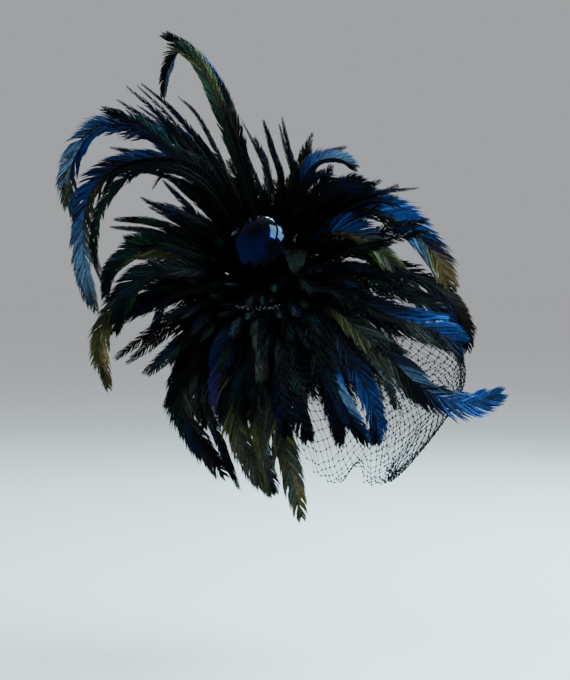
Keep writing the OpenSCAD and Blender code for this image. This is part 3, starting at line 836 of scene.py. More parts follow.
SPIKES = {
    "spikes_upper_left": [
        plume([(-88, -16, 160), (-135, -16, 215), (-181, -12, 256)], 9, 34, loose=1.6),
        plume([(-80, -30, 165), (-125, -36, 222), (-163, -36, 255)], 8, 28, loose=1.6),
        plume([(-92, -6, 155), (-145, 0, 210), (-192, 4, 243)], 9, 36, loose=1.6),
        plume([(-95, -26, 150), (-150, -30, 205), (-203, -30, 229)], 15, 32, right=JET_TEAL,
              loose=1.6),
        plume([(-100, 6, 152), (-160, 14, 203), (-219, 22, 213)], 7, 30, loose=1.6),
        plume([(-75, -36, 165), (-100, -46, 215), (-124, -50, 240)], 7, 25,
              right=[(0, "black"), (0.5, "brown"), (1, "brown")], loose=1.6),
        plume([(-84, 10, 150), (-118, 22, 196), (-150, 30, 230)], 12, 38, loose=1.8),
    ],
    "spikes_left": [
        plume([(-95, -14, 140), (-150, -12, 165), (-212, -8, 176)], 8, 36, loose=1.6),
        plume([(-95, -20, 146), (-145, -22, 178), (-197, -20, 190)], 9, 34, loose=1.6),
        plume([(-90, -42, 105), (-118, -54, 135), (-138, -60, 156)], 9, 32, loose=1.6),
        plume([(-92, -34, 98), (-130, -42, 122), (-162, -44, 139)], 9, 36, right=JET_GREEN),
        plume([(-90, -50, 108), (-125, -64, 126), (-155, -68, 132)], 10, 28, loose=1.6),
        plume([(-100, -36, 92), (-145, -42, 112), (-190, -44, 116)], 12, 34, right=JET_GREEN,
              left=JET_GREEN),
        plume([(-100, -50, 85), (-148, -58, 103), (-193, -60, 108)], 9, 30,
              right=[(0, "black"), (0.6, "black"), (0.85, "brown"), (1, "brown")]),
        plume([(-98, -24, 80), (-140, -22, 96), (-183, -18, 99)], 12, 37, right=JET_TEAL),
        plume([(-95, -60, 78), (-130, -72, 88), (-162, -76, 88)], 10, 27, right=JET_GREEN),
        plume([(-102, -8, 132), (-136, -6, 160), (-152, -6, 146)], 8, 30, loose=1.8),
    ],
    "spikes_top": [
        plume([(-28, -8, 150), (-44, -10, 188), (-62, -10, 223)], 5, 36, layers=1),
        plume([(-18, -16, 150), (-28, -20, 188), (-38, -20, 220)], 9, 33),
        plume([(-4, -16, 150), (-12, -20, 190), (-19, -22, 223)], 8, 36),
        plume([(-38, -28, 140), (-48, -36, 168), (-57, -40, 192)], 5, 30, layers=1),
        plume([(-32, 8, 140), (-36, 22, 176), (-48, 34, 206)], 10, 38, loose=1.6),
    ],
    "plumes_crest_black": [
        plume([(0, -28, 138), (20, -34, 160), (44, -36, 152)], 12, 30, loose=1.7),
        plume([(15, -32, 130), (45, -38, 150), (74, -40, 150)], 17, 34, loose=1.8),
        plume([(22, -24, 118), (52, -26, 138), (82, -28, 140)], 17, 36, right=JET_TEAL, loose=1.8),
        plume([(30, -30, 125), (72, -36, 141), (125, -36, 148)], 7, 28),
        plume([(34, -38, 116), (76, -46, 134), (112, -48, 122)], 7, 26),
        plume([(18, 4, 122), (46, 14, 148), (80, 18, 152)], 16, 38, loose=1.8),
    ],
}

SIDE_PLUMES = {
    "plume_side_upper": [
        plume([(-100, -38, 74), (-150, -46, 86), (-184, -50, 68), (-196, -52, 33)], 18,
              right=[(0, "black"), (0.4, "black"), (0.55, "green"), (0.75, "teal"), (1, "black")],
              left=[(0, "black"), (0.5, "olive"), (0.7, "green"), (1, "black")], loose=1.5),
    ],
    "plume_side_long": [
        plume([(-105, -50, 62), (-152, -60, 60), (-184, -64, 26), (-196, -66, -12),
               (-188, -66, -60)], 19, loose=1.7,
              right=[(0, "black"), (0.45, "black"), (0.6, "teal"), (0.75, "olive"), (1, "olive")],
              left=[(0, "black"), (0.5, "black"), (0.7, "olive"), (0.85, "bronze"), (1, "brown")]),
    ],
    "plume_side_front": [
        plume([(-100, -62, 64), (-145, -78, 62), (-172, -82, 34), (-183, -82, 0)], 18,
              right=JET_TEAL, left=JET_GREEN, loose=1.6),
    ],
    "plumes_side_short": [
        plume([(-100, -44, 42), (-145, -48, 32), (-190, -50, 8)], 14, 34, loose=1.7),
        plume([(-92, -54, 48), (-130, -62, 38), (-145, -64, 8), (-143, -64, -14)], 10, 28,
              loose=1.5),
        plume([(-96, -24, 56), (-138, -22, 50), (-172, -20, 26)], 17, 36, right=JET_GREEN,
              loose=1.6),
    ],
}

RIGHT_PLUMES = {
    "plume_crest_blue": [
        plume([(-4, -16, 138), (12, -20, 170), (36, -22, 178), (60, -22, 167)], 13, 32,
              left=[(0, "black"), (0.45, "black"), (0.6, "blue"), (0.85, "sky"), (1, "night")],
              right=[(0, "black"), (0.6, "night"), (1, "black")]),
    ],
    "plume_crest_bronze": [
        plume([(-12, -6, 148), (10, -6, 178), (52, -4, 192)], 8, 38,
              left=[(0, "black"), (0.5, "olive"), (0.75, "bronze"), (1, "brown")],
              right=[(0, "black"), (0.6, "olive"), (1, "brown")], loose=1.6),
    ],
    "plume_right_upper": [
        plume([(40, -26, 124), (88, -32, 122), (130, -36, 86), (154, -38, 42)], 25, 36,
              left=[(0, "black"), (0.35, "night"), (0.45, "blue"), (0.62, "blue"),
                    (0.76, "night"), (0.88, "bronze"), (1, "brown")],
              right=[(0, "black"), (0.45, "black"), (0.55, "blue"), (0.68, "sky"),
                     (0.8, "olive"), (0.9, "bronze"), (1, "brown")], loose=1.4),
    ],
    "plume_right_olive": [
        plume([(30, -46, 102), (62, -54, 96), (102, -58, 58)], 22, 30,
              left=[(0, "black"), (0.4, "blue"), (0.6, "night"), (0.8, "olive"), (1, "black")],
              right=[(0, "black"), (0.35, "olive"), (0.7, "olive"), (1, "grey")]),
    ],
    "plume_right_long": [
        plume([(46, -30, 84), (100, -36, 66), (142, -40, 42), (164, -40, 10), (169, -40, -20)],
              17, 37, right=JET, left=[(0, "black"), (0.6, "black"), (0.8, "brown"), (1, "black")],
              loose=1.5),
    ],
    "plume_right_fork": [
        plume([(50, -48, 68), (100, -58, 48), (142, -62, 18), (163, -62, -35)], 15, 34,
              right=JET_GREEN, loose=1.5),
    ],
    "plume_right_blue": [
        plume([(36, -74, 46), (80, -90, 24), (120, -90, 10), (162, -86, -10)], 25, 32,
              left=[(0, "black"), (0.35, "black"), (0.5, "night"), (0.7, "blue"), (0.92, "blue"),
                    (1, "night")],
              right=[(0, "black"), (0.5, "black"), (0.7, "grey"), (0.9, "night"), (1, "night")],
              loose=1.3),
    ],
    "plume_right_upturned": [
        plume([(34, -88, 26), (78, -112, -12), (116, -120, -48), (158, -118, -62),
               (200, -114, -52)], 24, 36,
              left=[(0, "black"), (0.25, "black"), (0.42, "grey"), (0.56, "night"), (0.66, "sky"),
                    (0.8, "blue"), (1, "blue")],
              right=[(0, "black"), (0.3, "olive"), (0.5, "grey"), (0.65, "black"), (0.78, "blue"),
                     (1, "blue")], loose=1.1),
    ],
}

DRAPES = {
    "drape_blue": [
        plume([(28, -86, 14), (54, -112, -30), (71, -112, -72), (73, -104, -106)], 20, 30,
              left=[(0, "black"), (0.5, "black"), (0.65, "blue"), (0.9, "blue"), (1, "night")],
              right=[(0, "black"), (0.55, "night"), (0.72, "blue"), (0.88, "night"), (1, "black")]),
    ],
    "drape_blue_edge": [
        plume([(14, -92, 6), (32, -116, -44), (50, -116, -78), (68, -108, -106)], 18, 34,
              left=[(0, "black"), (0.4, "black"), (0.55, "blue"), (0.7, "sky"), (0.85, "blue"),
                    (1, "night")], right=JET),
    ],
    "drapes_black": [
        plume([(0, -92, -2), (-2, -112, -60), (8, -112, -103)], 19, 30, loose=1.6),
        plume([(12, -100, -2), (30, -118, -60), (40, -114, -110)], 17, 26, loose=2.0),
        plume([(-16, -94, -6), (-16, -112, -56), (-12, -112, -98)], 17, 34, loose=1.6),
        plume([(-46, -82, -2), (-54, -96, -44), (-50, -100, -84)], 18, 28, right=JET_TEAL,
              loose=1.6),
    ],
    "drape_long": [
        plume([(-32, -86, -6), (-26, -106, -66), (-12, -112, -120), (3, -110, -183)], 21, 36,
              left=[(0, "black"), (0.45, "black"), (0.6, "olive"), (0.75, "grey"), (0.88, "bronze"),
                    (0.95, "olive"), (1, "grey")],
              right=[(0, "black"), (0.5, "grey"), (0.7, "olive"), (0.85, "grey"), (1, "olive")],
              loose=1.2),
    ],
    "drape_grey": [
        plume([(-44, -90, -6), (-42, -104, -66), (-34, -110, -112), (-22, -110, -156)], 15, 38,
              left=[(0, "black"), (0.5, "grey"), (0.8, "grey"), (1, "black")],
              right=[(0, "black"), (0.5, "black"), (0.75, "olive"), (1, "grey")]),
    ],
    "drape_olive": [
        plume([(-60, -80, -4), (-66, -90, -62), (-52, -96, -114), (-25, -100, -156)], 22, 36,
              left=[(0, "black"), (0.4, "black"), (0.55, "olive"), (0.75, "grey"), (0.9, "olive"),
                    (1, "grey")],
              right=[(0, "black"), (0.4, "grey"), (0.6, "olive"), (0.85, "grey"), (1, "olive")],
              loose=1.2),
    ],
    "drapes_narrow": [
        plume([(-82, -66, 0), (-92, -72, -60), (-78, -78, -106), (-57, -84, -157)], 11, 38,
              right=[(0, "black"), (0.4, "green"), (0.6, "grey"), (0.8, "night"), (1, "black")],
              left=[(0, "black"), (0.5, "grey"), (0.8, "black"), (1, "black")]),
        plume([(-88, -60, 8), (-101, -66, -46), (-94, -70, -96)], 14, 32,
              right=[(0, "black"), (0.45, "green"), (0.7, "grey"), (1, "green")]),
    ],
    "drape_left": [
        plume([(-96, -48, 14), (-117, -54, -50), (-108, -58, -92), (-70, -68, -146)], 21, 36,
              right=[(0, "black"), (0.4, "black"), (0.6, "green"), (0.8, "night"), (1, "brown")],
              left=[(0, "black"), (0.4, "green"), (0.6, "grey"), (0.85, "black"), (1, "black")],
              loose=1.5),
    ],
    "drape_violet": [
        plume([(-70, -78, 0), (-77, -88, -48), (-68, -92, -94)], 19, 30,
              left=[(0, "black"), (0.35, "black"), (0.5, "violet"), (0.75, "blue"), (0.9, "sky"),
                    (1, "grey")],
              right=[(0, "black"), (0.45, "night"), (0.65, "violet"), (1, "olive")]),
    ],
    "drape_cheek": [
        plume([(-94, -40, 30), (-118, -46, -6), (-122, -48, -36)], 19, 33, loose=2.2),
    ],
}


def make_plumes(table, point=3):
    for name, feathers in table.items():
        bundle = FeatherBundle(f"{name}_feathers")
        rng = bundle.rng
        for one in feathers:
            way = [plume_root(one["points"][0], one["root"], 2), *np.array(one["points"], float)]
            for layer in range(one["layers"]):
                slim = 1 if layer == 0 else 0.78
                drift = np.linspace(0, 1, len(way))[:, None] * rng.normal(0, 1, 3) * 3.5 * layer
                path = np.array(way) + drift - DEFAULT_FACING * 1.6 * layer
                if layer:
                    path[-1] = path[-2] + (path[-1] - path[-2]) * rng.uniform(0.6, 0.92)
                width = one["width"] * (1.2 if one["width"] > 12 else 0.95) * slim
                bundle.feather(
                    path, width, DEFAULT_FACING, one["right"], one["left"],
                    one["loose"] * (1 + 0.3 * layer), point=point,
                )
        bundle.make("plume", "plume_feather", name)


def uneven(i, k):
    """The same small unevenness as the frame's own rows have."""
    return math.sin(math.radians(k * i * i + 57 * i))


HACKLE_HUES = [SOOT] * 6 + [JET, JET_GREEN, JET_TEAL]

# feathers in each row
INNER_COUNT, MIDDLE_COUNT, OUTER_COUNT, COLLAR_COUNT, BACK_COUNT = 22, 26, 30, 34, 20
MANTLE_COUNT, SKIRT_COUNT, SKIRT_RING = 30, 36, 12


def hackle_path(angle, r, length, lean, droop):
    """A short feather of a row round the plaque, which leans to the front and droops."""
    angle, lean = math.radians(angle), math.radians(lean)
    out = ACROSS_N * math.cos(angle) + UP_N * math.sin(angle)
    start = PLAQUE_CENTRE + out * r + FACE_N * 1.5
    way = out * math.cos(lean) + FACE_N * math.sin(lean)
    t = np.linspace(0, 1, 6)[:, None]
    path = start + way * length * t + (out * length * 0.25 - np.array([0, 0, droop])) * t * t
    return path, FACE_N * math.cos(lean) - out * math.sin(lean)


def above_cap(p):
    """Keeps a feather's path above the cap."""
    away = p - HEAD_CENTRE
    d = np.linalg.norm(away, axis=1, keepdims=True)
    return np.where(d < CAP_R + 4, HEAD_CENTRE + away * (CAP_R + 4) / d, p)


def inner_path(i):
    return hackle_path(360 * i / INNER_COUNT + 5 * uneven(i, 131), 37, 54 + 8 * uneven(i, 47),
                       46 + 6 * uneven(i, 83), 6)


def ruff_path(i):
    """A downy feather that stands up round the ball."""
    angle = 360 * (i + 0.5) / INNER_COUNT + 7 * uneven(i, 53)
    return hackle_path(angle, 25, 50 + 8 * uneven(i, 19), 66 + 7 * uneven(i, 71), 4)


def middle_path(i):
    angle = 360 * (i + 0.5) / MIDDLE_COUNT + 5 * uneven(i, 97)
    return hackle_path(angle, 34, 74 + 10 * uneven(i, 61), 30 + 7 * uneven(i, 29), 12)


def outer_path(i):
    angle = 360 * i / OUTER_COUNT + 5 * uneven(i, 71)
    return hackle_path(angle, 38, 92 + 14 * uneven(i, 37), 12 + 8 * uneven(i, 53), 20)


def collar_path(i):
    """The collar lies on the cap all round and hangs past its edge."""
    turn = math.radians(360 * i / COLLAR_COUNT + 4 * uneven(i, 89)) - DISPLAY_TURN
    t = np.linspace(0, 1, 6)
    fall = np.radians(27 + (46 + 6 * uneven(i, 43)) * t)
    away = np.stack([np.sin(fall) * math.cos(turn), np.sin(fall) * math.sin(turn), np.cos(fall)], 1)
    path = HEAD_CENTRE + away * (CAP_R + 2.5 + 9 * t)[:, None]
    return path, unit(path[2] - HEAD_CENTRE)


def back_path(i):
    """The back row hides the stand and falls towards the back of the cap."""
    turn = math.radians(-20 + 220 * i / (BACK_COUNT - 1) + 4 * uneven(i, 67))
    length = 62 + 12 * uneven(i, 31)
    side = ACROSS_N * math.cos(turn) + UP_N * math.sin(turn)
    start = PLAQUE_CENTRE - FACE_N * (PLAQUE_T + 2) + side * 36
    t = np.linspace(0, 1, 6)[:, None]
    path = start + side * length * 0.6 * t - FACE_N * length * 0.75 * t
    return above_cap(path - np.array([0, 0, 34]) * t * t), unit(side + np.array([0, 0, 0.3]))


def mantle_path(i):
    """The mantle stands over the veil's tape and falls on the collar."""
    turn = math.radians(360 * (i + 0.5) / MANTLE_COUNT + 5 * uneven(i, 59)) - DISPLAY_TURN
    rise = 5 * uneven(i, 37)
    away = np.array([44.0, 62.0, 82.0, 93.0 + rise])
    up = np.array([3.0, 21.0 + rise, 10.0 + rise, -18.0])
    path = np.stack([away * math.cos(turn), away * math.sin(turn), up], 1)
    return path, unit(path[1] - path[0] + np.array([0, 0, 30]))


def skirt_path(i):
    """Rings of feathers round the stand, which hide it from the sides and the back."""
    axis = unit(PLAQUE_CENTRE - STAND_FOOT)
    side = unit(np.cross(axis, [0, 1, 0]))
    ring, place = divmod(i, SKIRT_RING)
    turn = math.radians(360 * place / SKIRT_RING + 15 * ring + 6 * uneven(i, 41))
    out = side * math.cos(turn) + np.cross(axis, side) * math.sin(turn)
    along = (0.42, 0.66, 0.88)[ring]
    start = STAND_FOOT + axis * np.linalg.norm(PLAQUE_CENTRE - STAND_FOOT) * along
    length = 52 + 9 * uneven(i, 67)
    t = np.linspace(0, 1, 6)[:, None]
    path = start + out * (36 - 10 * along) + (0.85 * out + 0.3 * axis) * length * t
    return above_cap(path - np.array([0, 0, 30]) * t * t), unit(out + axis)


# each row's piece, node, places, path, width, share of down, and feathers at each place
HACKLE_ROWS = (
    ("hackles_inner_row", "hackles_inner", INNER_COUNT, inner_path, 15, 0.55, 2),
    ("hackles_middle_row", "hackles_middle", MIDDLE_COUNT, middle_path, 15, 0.45, 2),
    ("hackles_outer_row", "hackles_outer", OUTER_COUNT, outer_path, 16, 0.35, 2),
    ("hackles_collar_row", "hackles_collar", COLLAR_COUNT, collar_path, 18, 0.2, 2),
    ("hackles_mantle_row", "hackles_collar", MANTLE_COUNT, mantle_path, 18, 0.3, 1),
    ("hackles_back_row", "hackles_back", BACK_COUNT, back_path, 17, 0.3, 2),
    ("hackles_skirt_row", "hackles_back", SKIRT_COUNT, skirt_path, 18, 0.4, 1),
)


def make_hackles():
    for name, node, count, path_of, width, fluff, copies in HACKLE_ROWS:
        bundle = FeatherBundle(name)
        rng = bundle.rng
        for i in range(count):
            for copy in range(copies):
                ruff = copy and node == "hackles_inner"
                path, facing = ruff_path(i) if ruff else path_of(i)
                t = np.linspace(0, 1, len(path))[:, None]
                drift = rng.normal(0, 1, 3) * 7 * copy * t + rng.normal(0, 1, 3) * 7 * t * t
                right, left = (HACKLE_HUES[rng.randint(len(HACKLE_HUES))] for _ in range(2))
                bundle.feather(
                    above_cap(path + drift), width * rng.uniform(0.85, 1.1), facing, right, left,
                    1.9, fluff, quill=0.5, fan=0.75, sparse=1.3,
                )
        bundle.make("hackle", "hackle_feather", node)


# ------------------------------------------------------------------------------------------
# Veil
# ------------------------------------------------------------------------------------------

VEIL_PROFILE = [
    (48, -9), (48, 24), (60, 46), (82, 46), (110, 14), (130, -20), (133, -42), (126, -66),
    (112, -96), (90, -132), (77, -148),
]
VEIL_FROM, VEIL_TO = -66.0, 96.0


def smooth(t):
    c = np.clip(t, 0, 1)
    return c * c * (3 - 2 * c)


def veil_at(turn, v):
    """The net's own place at a turn from the face, in degrees, and v from tape to hem."""
    end = np.where(turn < 0, turn / VEIL_FROM, turn / VEIL_TO)
    down = v * (1 - 0.3 * end**4)
    q = spline_at(VEIL_PROFILE, down)
    band = smooth((v - 0.12) * 4) * (1 - smooth((v - 0.6) / 0.4))
    close = 1 - 0.27 * band * (smooth((12 - turn) / 46) + smooth((turn - 40) / 50))
    stretch = 1 + 0.37 * np.minimum(1, v * 3) - 0.07 * smooth((v - 0.7) / 0.3)
    r = q[:, 0] * close
    a = np.radians(turn)
    return np.stack([r * np.sin(a), -r * stretch * np.cos(a), q[:, 1]], 1) * MM


def net_tree():
    """Rounds a net of edges into threads and sets a dot on each knot."""
    tree, net, given = node_tree(
        "Net threads and dots",
        {"Thread radius": "NodeSocketFloat", "Dot radius": "NodeSocketFloat",
         "Finish": "NodeSocketMaterial"},
    )
    line = net.add("GeometryNodeMeshToCurve", {"Mesh": given("Geometry")})
    ring = net.add("GeometryNodeCurvePrimitiveCircle",
                   {"Resolution": 3, "Radius": given("Thread radius")})
    thread = net.add("GeometryNodeCurveToMesh",
                     {"Curve": line, "Profile Curve": ring, "Fill Caps": True})
    dot = net.add("GeometryNodeMeshUVSphere",
                  {"Segments": 4, "Rings": 3, "Radius": given("Dot radius")})
    dots = net.add("GeometryNodeInstanceOnPoints", {"Points": given("Geometry"), "Instance": dot})
    whole = net.add("GeometryNodeJoinGeometry", {"Geometry": [thread, dots]})
    close_tree(net, whole, given("Finish"))
    return tree


def make_veil():
    settings = bpy.context.scene.fascinator_veil
    columns, rows = settings.columns, settings.rows
    rng = np.random.RandomState(7)
    row = np.repeat(np.arange(rows + 1), columns + 1)
    col = np.tile(np.arange(columns + 1), rows + 1)
    across = np.clip((col + 0.5 * (row % 2)) / columns, 0, 1)
    turn = VEIL_FROM + (VEIL_TO - VEIL_FROM) * across
    v = row / rows
    wave = 0.9 * np.sin(across * 41 + 3 * v) + 0.7 * np.sin(across * 67 - 5 * v)
    turn = turn + wave * (1 - smooth(v * 1.6)) + rng.normal(0, 0.3, len(turn))
    slack = rng.normal(0, 0.0026, len(v)) - 0.018 * smooth((v - 0.9) * 10) * np.sin(across * 58) ** 2
    knots = veil_at(np.clip(turn, VEIL_FROM, VEIL_TO), np.clip(v + slack, 0, 1))
    away = unit(knots * [1, 1, 0])
    sway = 0.0016 * np.sin(across * 23 + 9 * v) + 0.0012 * np.sin(across * 51 - 7 * v)
    knots += away * (sway * smooth(v * 3))[:, None]
    pucker = np.exp(-(((turn + 22) / 7) ** 2)) * smooth((v - 0.72) / 0.28)
    knots[:, 2] += 0.020 * pucker

    def at(r, c):
        return r * (columns + 1) + c

    edges = []
    for r in range(rows):
        for c in range(columns + 1):
            edges.append((at(r, c), at(r + 1, c)))
            other = c + 1 if r % 2 else c - 1
            if 0 <= other <= columns:
                edges.append((at(r, c), at(r + 1, other)))
    obj = mesh_object("veil_netting", knots, edges=edges)
    bake(obj, net_tree(), {
        "Thread radius": settings.thread_r, "Dot radius": settings.dot_r, "Finish": finish("net"),
    })
    claim(obj, "headpiece", "veil_net", "veil_net")
    return obj


# ------------------------------------------------------------------------------------------
# Ball, beads and strands
# ------------------------------------------------------------------------------------------


def aimed(start, toward):
    """The frame at start whose Z runs toward a point, both in the trimming's frame."""
    place, goal = to_object(start)[0], to_object(toward)[0]
    turn = Vector(goal - place).to_track_quat("Z", "Y").to_matrix().to_4x4()
    return Matrix.Translation(place) @ turn


def lathe(name, outline, steps, place):
    """A closed turned shape: outline is (radius, height) in mm, and ends on the axis."""
    verts, faces = [], []
    ring = [2 * math.pi * k / steps for k in range(steps)]
    starts = []
    for r, h in outline:
        starts.append(len(verts))
        if r < 1e-6:
            verts.append((0, 0, h * MM))
        else:
            verts += [(r * MM * math.cos(a), r * MM * math.sin(a), h * MM) for a in ring]
    for i in range(len(outline) - 1):
        a, b = starts[i], starts[i + 1]
        one, two = outline[i][0] < 1e-6, outline[i + 1][0] < 1e-6
        for k in range(steps):
            n = (k + 1) % steps
            if one:
                faces.append((a, b + n, b + k))
            elif two:
                faces.append((a + k, a + n, b))
            else:
                faces.append((a + k, a + n, b + n, b + k))
    obj = mesh_object(name, verts, faces)
    obj.data.transform(place)
    obj.data.polygons.foreach_set("use_smooth", [True] * len(obj.data.polygons))
    return obj


def make_ball():
    """The blown glass ball and its neck, open at the neck's end and hollow inside."""
    neck_r, neck_end, wall = 6.0, 38.0, 1.2
    outer = [(BALL_R * math.sin(a), -BALL_R * math.cos(a)) for a in np.linspace(0, 2.96, 90)]
    outer = [(r, h) for r, h in outer if r > neck_r or h < 0]
    foot = math.sqrt(BALL_R**2 - neck_r**2)
    inner_r = BALL_R - wall
    inner = [(inner_r * math.sin(a), -inner_r * math.cos(a)) for a in np.linspace(0, 2.96, 40)]
    inner = [(r, h) for r, h in inner if r > neck_r - 1 or h < 0]
    outline = [
        *outer, (neck_r + 0.6, foot + 0.1), (neck_r, foot + 1.2), (neck_r, neck_end - 0.3),
        (neck_r - 0.3, neck_end), (neck_r - 1, neck_end), *reversed(inner),
    ]
    ball = lathe("mirror_ball", outline, 96, aimed(BALL_CENTRE, PLAQUE_CENTRE))
    ball.data.materials.append(finish("mirror"))
    claim(ball, "headpiece", "mirror_glass", "glass_ball")


def bead_tree():
    """Sets a cut bead on each place and a thread through them."""
    tree, net, given = node_tree(
        "String beads", {"Bead radius": "NodeSocketFloat", "Finish": "NodeSocketMaterial"}
    )
    bead = net.add("GeometryNodeMeshIcoSphere",
                   {"Radius": given("Bead radius"), "Subdivisions": 2})
    beads = net.add("GeometryNodeInstanceOnPoints", {"Points": given("Geometry"), "Instance": bead})
    line = net.add("GeometryNodeMeshToCurve", {"Mesh": given("Geometry")})
    ring = net.add("GeometryNodeCurvePrimitiveCircle",
                   {"Resolution": 6, "Radius": 0.2 * given("Bead radius")})
    thread = net.add("GeometryNodeCurveToMesh",
                     {"Curve": line, "Profile Curve": ring, "Fill Caps": True})
    whole = net.add("GeometryNodeJoinGeometry", {"Geometry": [beads, thread]})
    close_tree(net, whole, given("Finish"))
    return tree


def make_beads():
    count, strand_r, half, centre = 19, 110.0, 11.0, np.array([-41.0, -88.0, 138.0])
    turn = np.radians(-90 + np.linspace(-half, half, count))
    radius = strand_r + 1.5 * (np.arange(count) % 2)
    places = centre + radius[:, None] * np.stack([np.cos(turn), 0 * turn, np.sin(turn)], 1)
    places += np.random.RandomState(5).uniform(-0.7, 0.7, places.shape)
    obj = mesh_object("bead_string", to_object(places), edges=[(i, i + 1) for i in range(count - 1)])
    bake(obj, bead_tree(), {
        "Bead radius": bpy.context.scene.fascinator_ball.bead_r, "Finish": finish("bead"),
    })
    claim(obj, "headpiece", "cut_beads", "bead_strand")


def make_flue():
    """Fine pale strands that spread from beside the ball, each with short side flues."""
    bundle = FeatherBundle("pale_flue_fan")
    root = np.array([-8.0, -62.0, 62.0])
    for i in range(11):
        lean, reach = math.radians(-20 + 3.4 * i), 27 - 0.25 * abs(i - 5)
        start = root + [0.9 * i, 0, 0]
        mid = start + [math.sin(lean) * reach / 2, -11, math.cos(lean) * reach / 2]
        end = start + [math.sin(lean) * reach, -18, math.cos(lean) * reach]
        bundle.feather([start, mid, end], 1.0, np.array([0, -1, 0]), [(0, "grey"), (1, "sky")],
                       [(0, "olive"), (1, "grey")], 1.5, quill=0.16, sparse=4)
    obj = bundle.make("plume", "pale_flue", "flue_fan")
    obj.data.materials.clear()
    obj.data.materials.append(finish("flue"))


# ------------------------------------------------------------------------------------------
# Stage
# ------------------------------------------------------------------------------------------


def area_light(name, toward, distance, width, height, radiance, shade=(1, 1, 1), upright=(0, 0, 1)):
    """A soft light seen from the ball in a direction of the trimming's frame, facing the ball."""
    data = bpy.data.lights.new(name, "AREA")
    data.shape = "RECTANGLE"
    data.size, data.size_y = width, height
    data.energy, data.color = math.pi * radiance * width * height, shade
    obj = bpy.data.objects.new(name, data)
    back, up = (Vector(to_object(unit(v))[0]).normalized() for v in (toward, upright))
    side = up.cross(back).normalized()
    turn = Matrix((side, back.cross(side), back)).transposed().to_4x4()
    obj.matrix_world = Matrix.Translation(Vector(to_object(BALL_CENTRE)[0]) + back * distance) @ turn
    obj.visible_camera = False
    bpy.context.scene.collection.objects.link(obj)
    return obj


def make_camera():
    settings = bpy.context.scene.fascinator_stage
    data = bpy.data.cameras.new("Camera")
    data.lens = settings.lens
    data.clip_start, data.clip_end = 0.05, 60
    camera = bpy.data.objects.new("Camera", data)
    target = Vector(to_object([-15, -40, -5])[0])
    back = Vector((
        math.sin(DISPLAY_TURN) * math.cos(settings.lift),
        -math.cos(DISPLAY_TURN) * math.cos(settings.lift),
        math.sin(settings.lift),
    ))
    camera.location = target + back * settings.distance
    camera.rotation_euler = (-back).to_track_quat("-Z", "Y").to_euler()
    bpy.context.scene.collection.objects.link(camera)
    bpy.context.scene.camera = camera


def make_floor():
    low = float(CAD_BOX[0][2]) - 0.16
    steps, size = 96, 40.0
    ring = [2 * math.pi * k / steps for k in range(steps)]
    verts = [(size * math.cos(a), size * math.sin(a), low) for a in ring]
    floor = mesh_object("studio_floor", verts, [tuple(range(steps))])
    floor.data.materials.append(finish("floor"))
    floor.visible_glossy = False


def make_lights():
    world = bpy.data.worlds.new("Studio")
    world.use_nodes = True
    background = world.node_tree.nodes["Background"]
    background.inputs["Color"].default_value = (0.80, 0.82, 0.85, 1)
    background.inputs["Strength"].default_value = 0.5
    bpy.context.scene.world = world
    key = area_light("key_softbox", (-0.5, -0.62, 0.6), 2.6, 2.0, 2.0, 3.4)
    fill = area_light("fill_softbox", (0.9, -0.30, 0.42), 3.4, 2.0, 2.0, 3.2, (0.93, 0.97, 1))
    key.visible_glossy = fill.visible_glossy = False
    glow, slope = (0.55, 0.92, 1), (-0.31, 0.91, 0.28)
    area_light("window_pane_left", (0.59, -0.23, 0.78), 2.0, 0.62, 1.8, 24, glow, slope)
    area_light("window_pane_right", (0.80, 0.12, 0.58), 2.0, 0.62, 1.8, 24, glow, slope)
    area_light("window_pane_top", (0.34, 0.73, 0.59), 2.0, 0.8, 0.8, 24, glow, slope)


# ------------------------------------------------------------------------------------------
# Operators, panel and main
# ------------------------------------------------------------------------------------------


class FASCINATOR_OT_stage(bpy.types.Operator):
    """Make the camera, the pale floor and the soft lights"""

    bl_idname = "fascinator.stage"
    bl_label = "Stage"

    def execute(self, context):
        make_camera()
        make_floor()
        make_lights()
        return {"FINISHED"}


class FASCINATOR_OT_cap(bpy.types.Operator):
    """Finish the felt cap, its lining, ribbon, edge, stand and plaque"""

    bl_idname = "fascinator.cap"
    bl_label = "Cap and stand"

    def execute(self, context):
        finish_nodes(finish("felt"), "base_cap", "stand", "plaque")
        finish_nodes(finish("satin"), "cap_lining")
        finish_nodes(finish("ribbon"), "sweatband", "edge_piping", "veil_tape")
        finish_nodes(finish("wire"), "edge_wire")
        return {"FINISHED"}


class FASCINATOR_OT_fittings(bpy.types.Operator):
    """Finish the comb, the clips and the ball's metal parts"""

    bl_idname = "fascinator.fittings"
    bl_label = "Comb and clips"

    def execute(self, context):
        finish_nodes(finish("wire"), "wire_comb", "ball_stem")
        finish_nodes(finish("cap"), "ball_cap")
        for side in ("left", "right"):
            finish_nodes(finish("plate"), *(f"clip_{part}_{side}" for part in
                                            ("base", "jaw", "pin", "spring")))
        return {"FINISHED"}


class FASCINATOR_OT_ball(bpy.types.Operator):
    """Make the mirrored glass ball"""

    bl_idname = "fascinator.ball"
    bl_label = "Glass ball"

    def execute(self, context):
        make_ball()
        return {"FINISHED"}


class FASCINATOR_OT_beads(bpy.types.Operator):
    """String the cut beads and set the pale strands"""

    bl_idname = "fascinator.beads"
    bl_label = "Beads and strands"

    def execute(self, context):
        make_beads()
        make_flue()
        return {"FINISHED"}


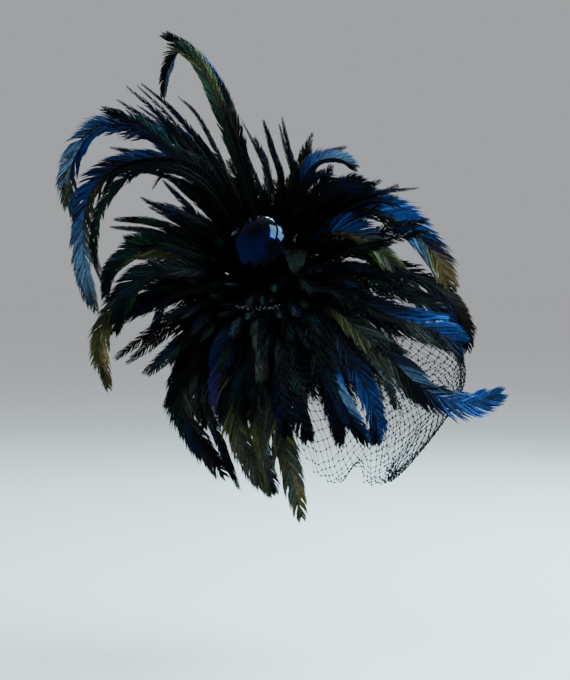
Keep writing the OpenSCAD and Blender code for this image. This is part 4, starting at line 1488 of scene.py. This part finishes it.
class FASCINATOR_OT_veil(bpy.types.Operator):
    """Net the veil"""

    bl_idname = "fascinator.veil"
    bl_label = "Veil"

    def execute(self, context):
        make_veil()
        return {"FINISHED"}


class FASCINATOR_OT_hackles(bpy.types.Operator):
    """Sew the rows of short hackle feathers"""

    bl_idname = "fascinator.hackles"
    bl_label = "Hackle rows"

    def execute(self, context):
        make_hackles()
        return {"FINISHED"}


class FASCINATOR_OT_plumes(bpy.types.Operator):
    """Sew the long plumes, the spikes and the drapes"""

    bl_idname = "fascinator.plumes"
    bl_label = "Plumes"

    def execute(self, context):
        for table in (UPPER_PLUMES, SPIKES, SIDE_PLUMES):
            make_plumes(table)
        for table in (RIGHT_PLUMES, DRAPES):
            make_plumes(table, point=5)
        return {"FINISHED"}


STEPS = (
    FASCINATOR_OT_stage, FASCINATOR_OT_cap, FASCINATOR_OT_fittings, FASCINATOR_OT_ball,
    FASCINATOR_OT_beads, FASCINATOR_OT_veil, FASCINATOR_OT_hackles, FASCINATOR_OT_plumes,
)


class FASCINATOR_PT_panel(bpy.types.Panel):
    """The steps and the settings"""

    bl_label = "Fascinator"
    bl_idname = "FASCINATOR_PT_panel"
    bl_space_type = "VIEW_3D"
    bl_region_type = "UI"
    bl_category = "Fascinator"

    def draw(self, context):
        for step in STEPS:
            self.layout.operator(step.bl_idname)
        for name, group in SETTINGS.items():
            box = self.layout.box()
            for key in group.__annotations__:
                box.prop(getattr(context.scene, name), key)


def register():
    for name, group in SETTINGS.items():
        bpy.utils.register_class(group)
        setattr(bpy.types.Scene, name, PointerProperty(type=group))
    for item in (*STEPS, FASCINATOR_PT_panel):
        bpy.utils.register_class(item)


def unregister():
    for item in reversed((*STEPS, FASCINATOR_PT_panel)):
        bpy.utils.unregister_class(item)
    for name, group in reversed(SETTINGS.items()):
        delattr(bpy.types.Scene, name)
        bpy.utils.unregister_class(group)


def main():
    register()
    for step in STEPS:
        group, name = step.bl_idname.split(".")
        getattr(getattr(bpy.ops, group), name)()


if __name__ == "__main__":
    main()
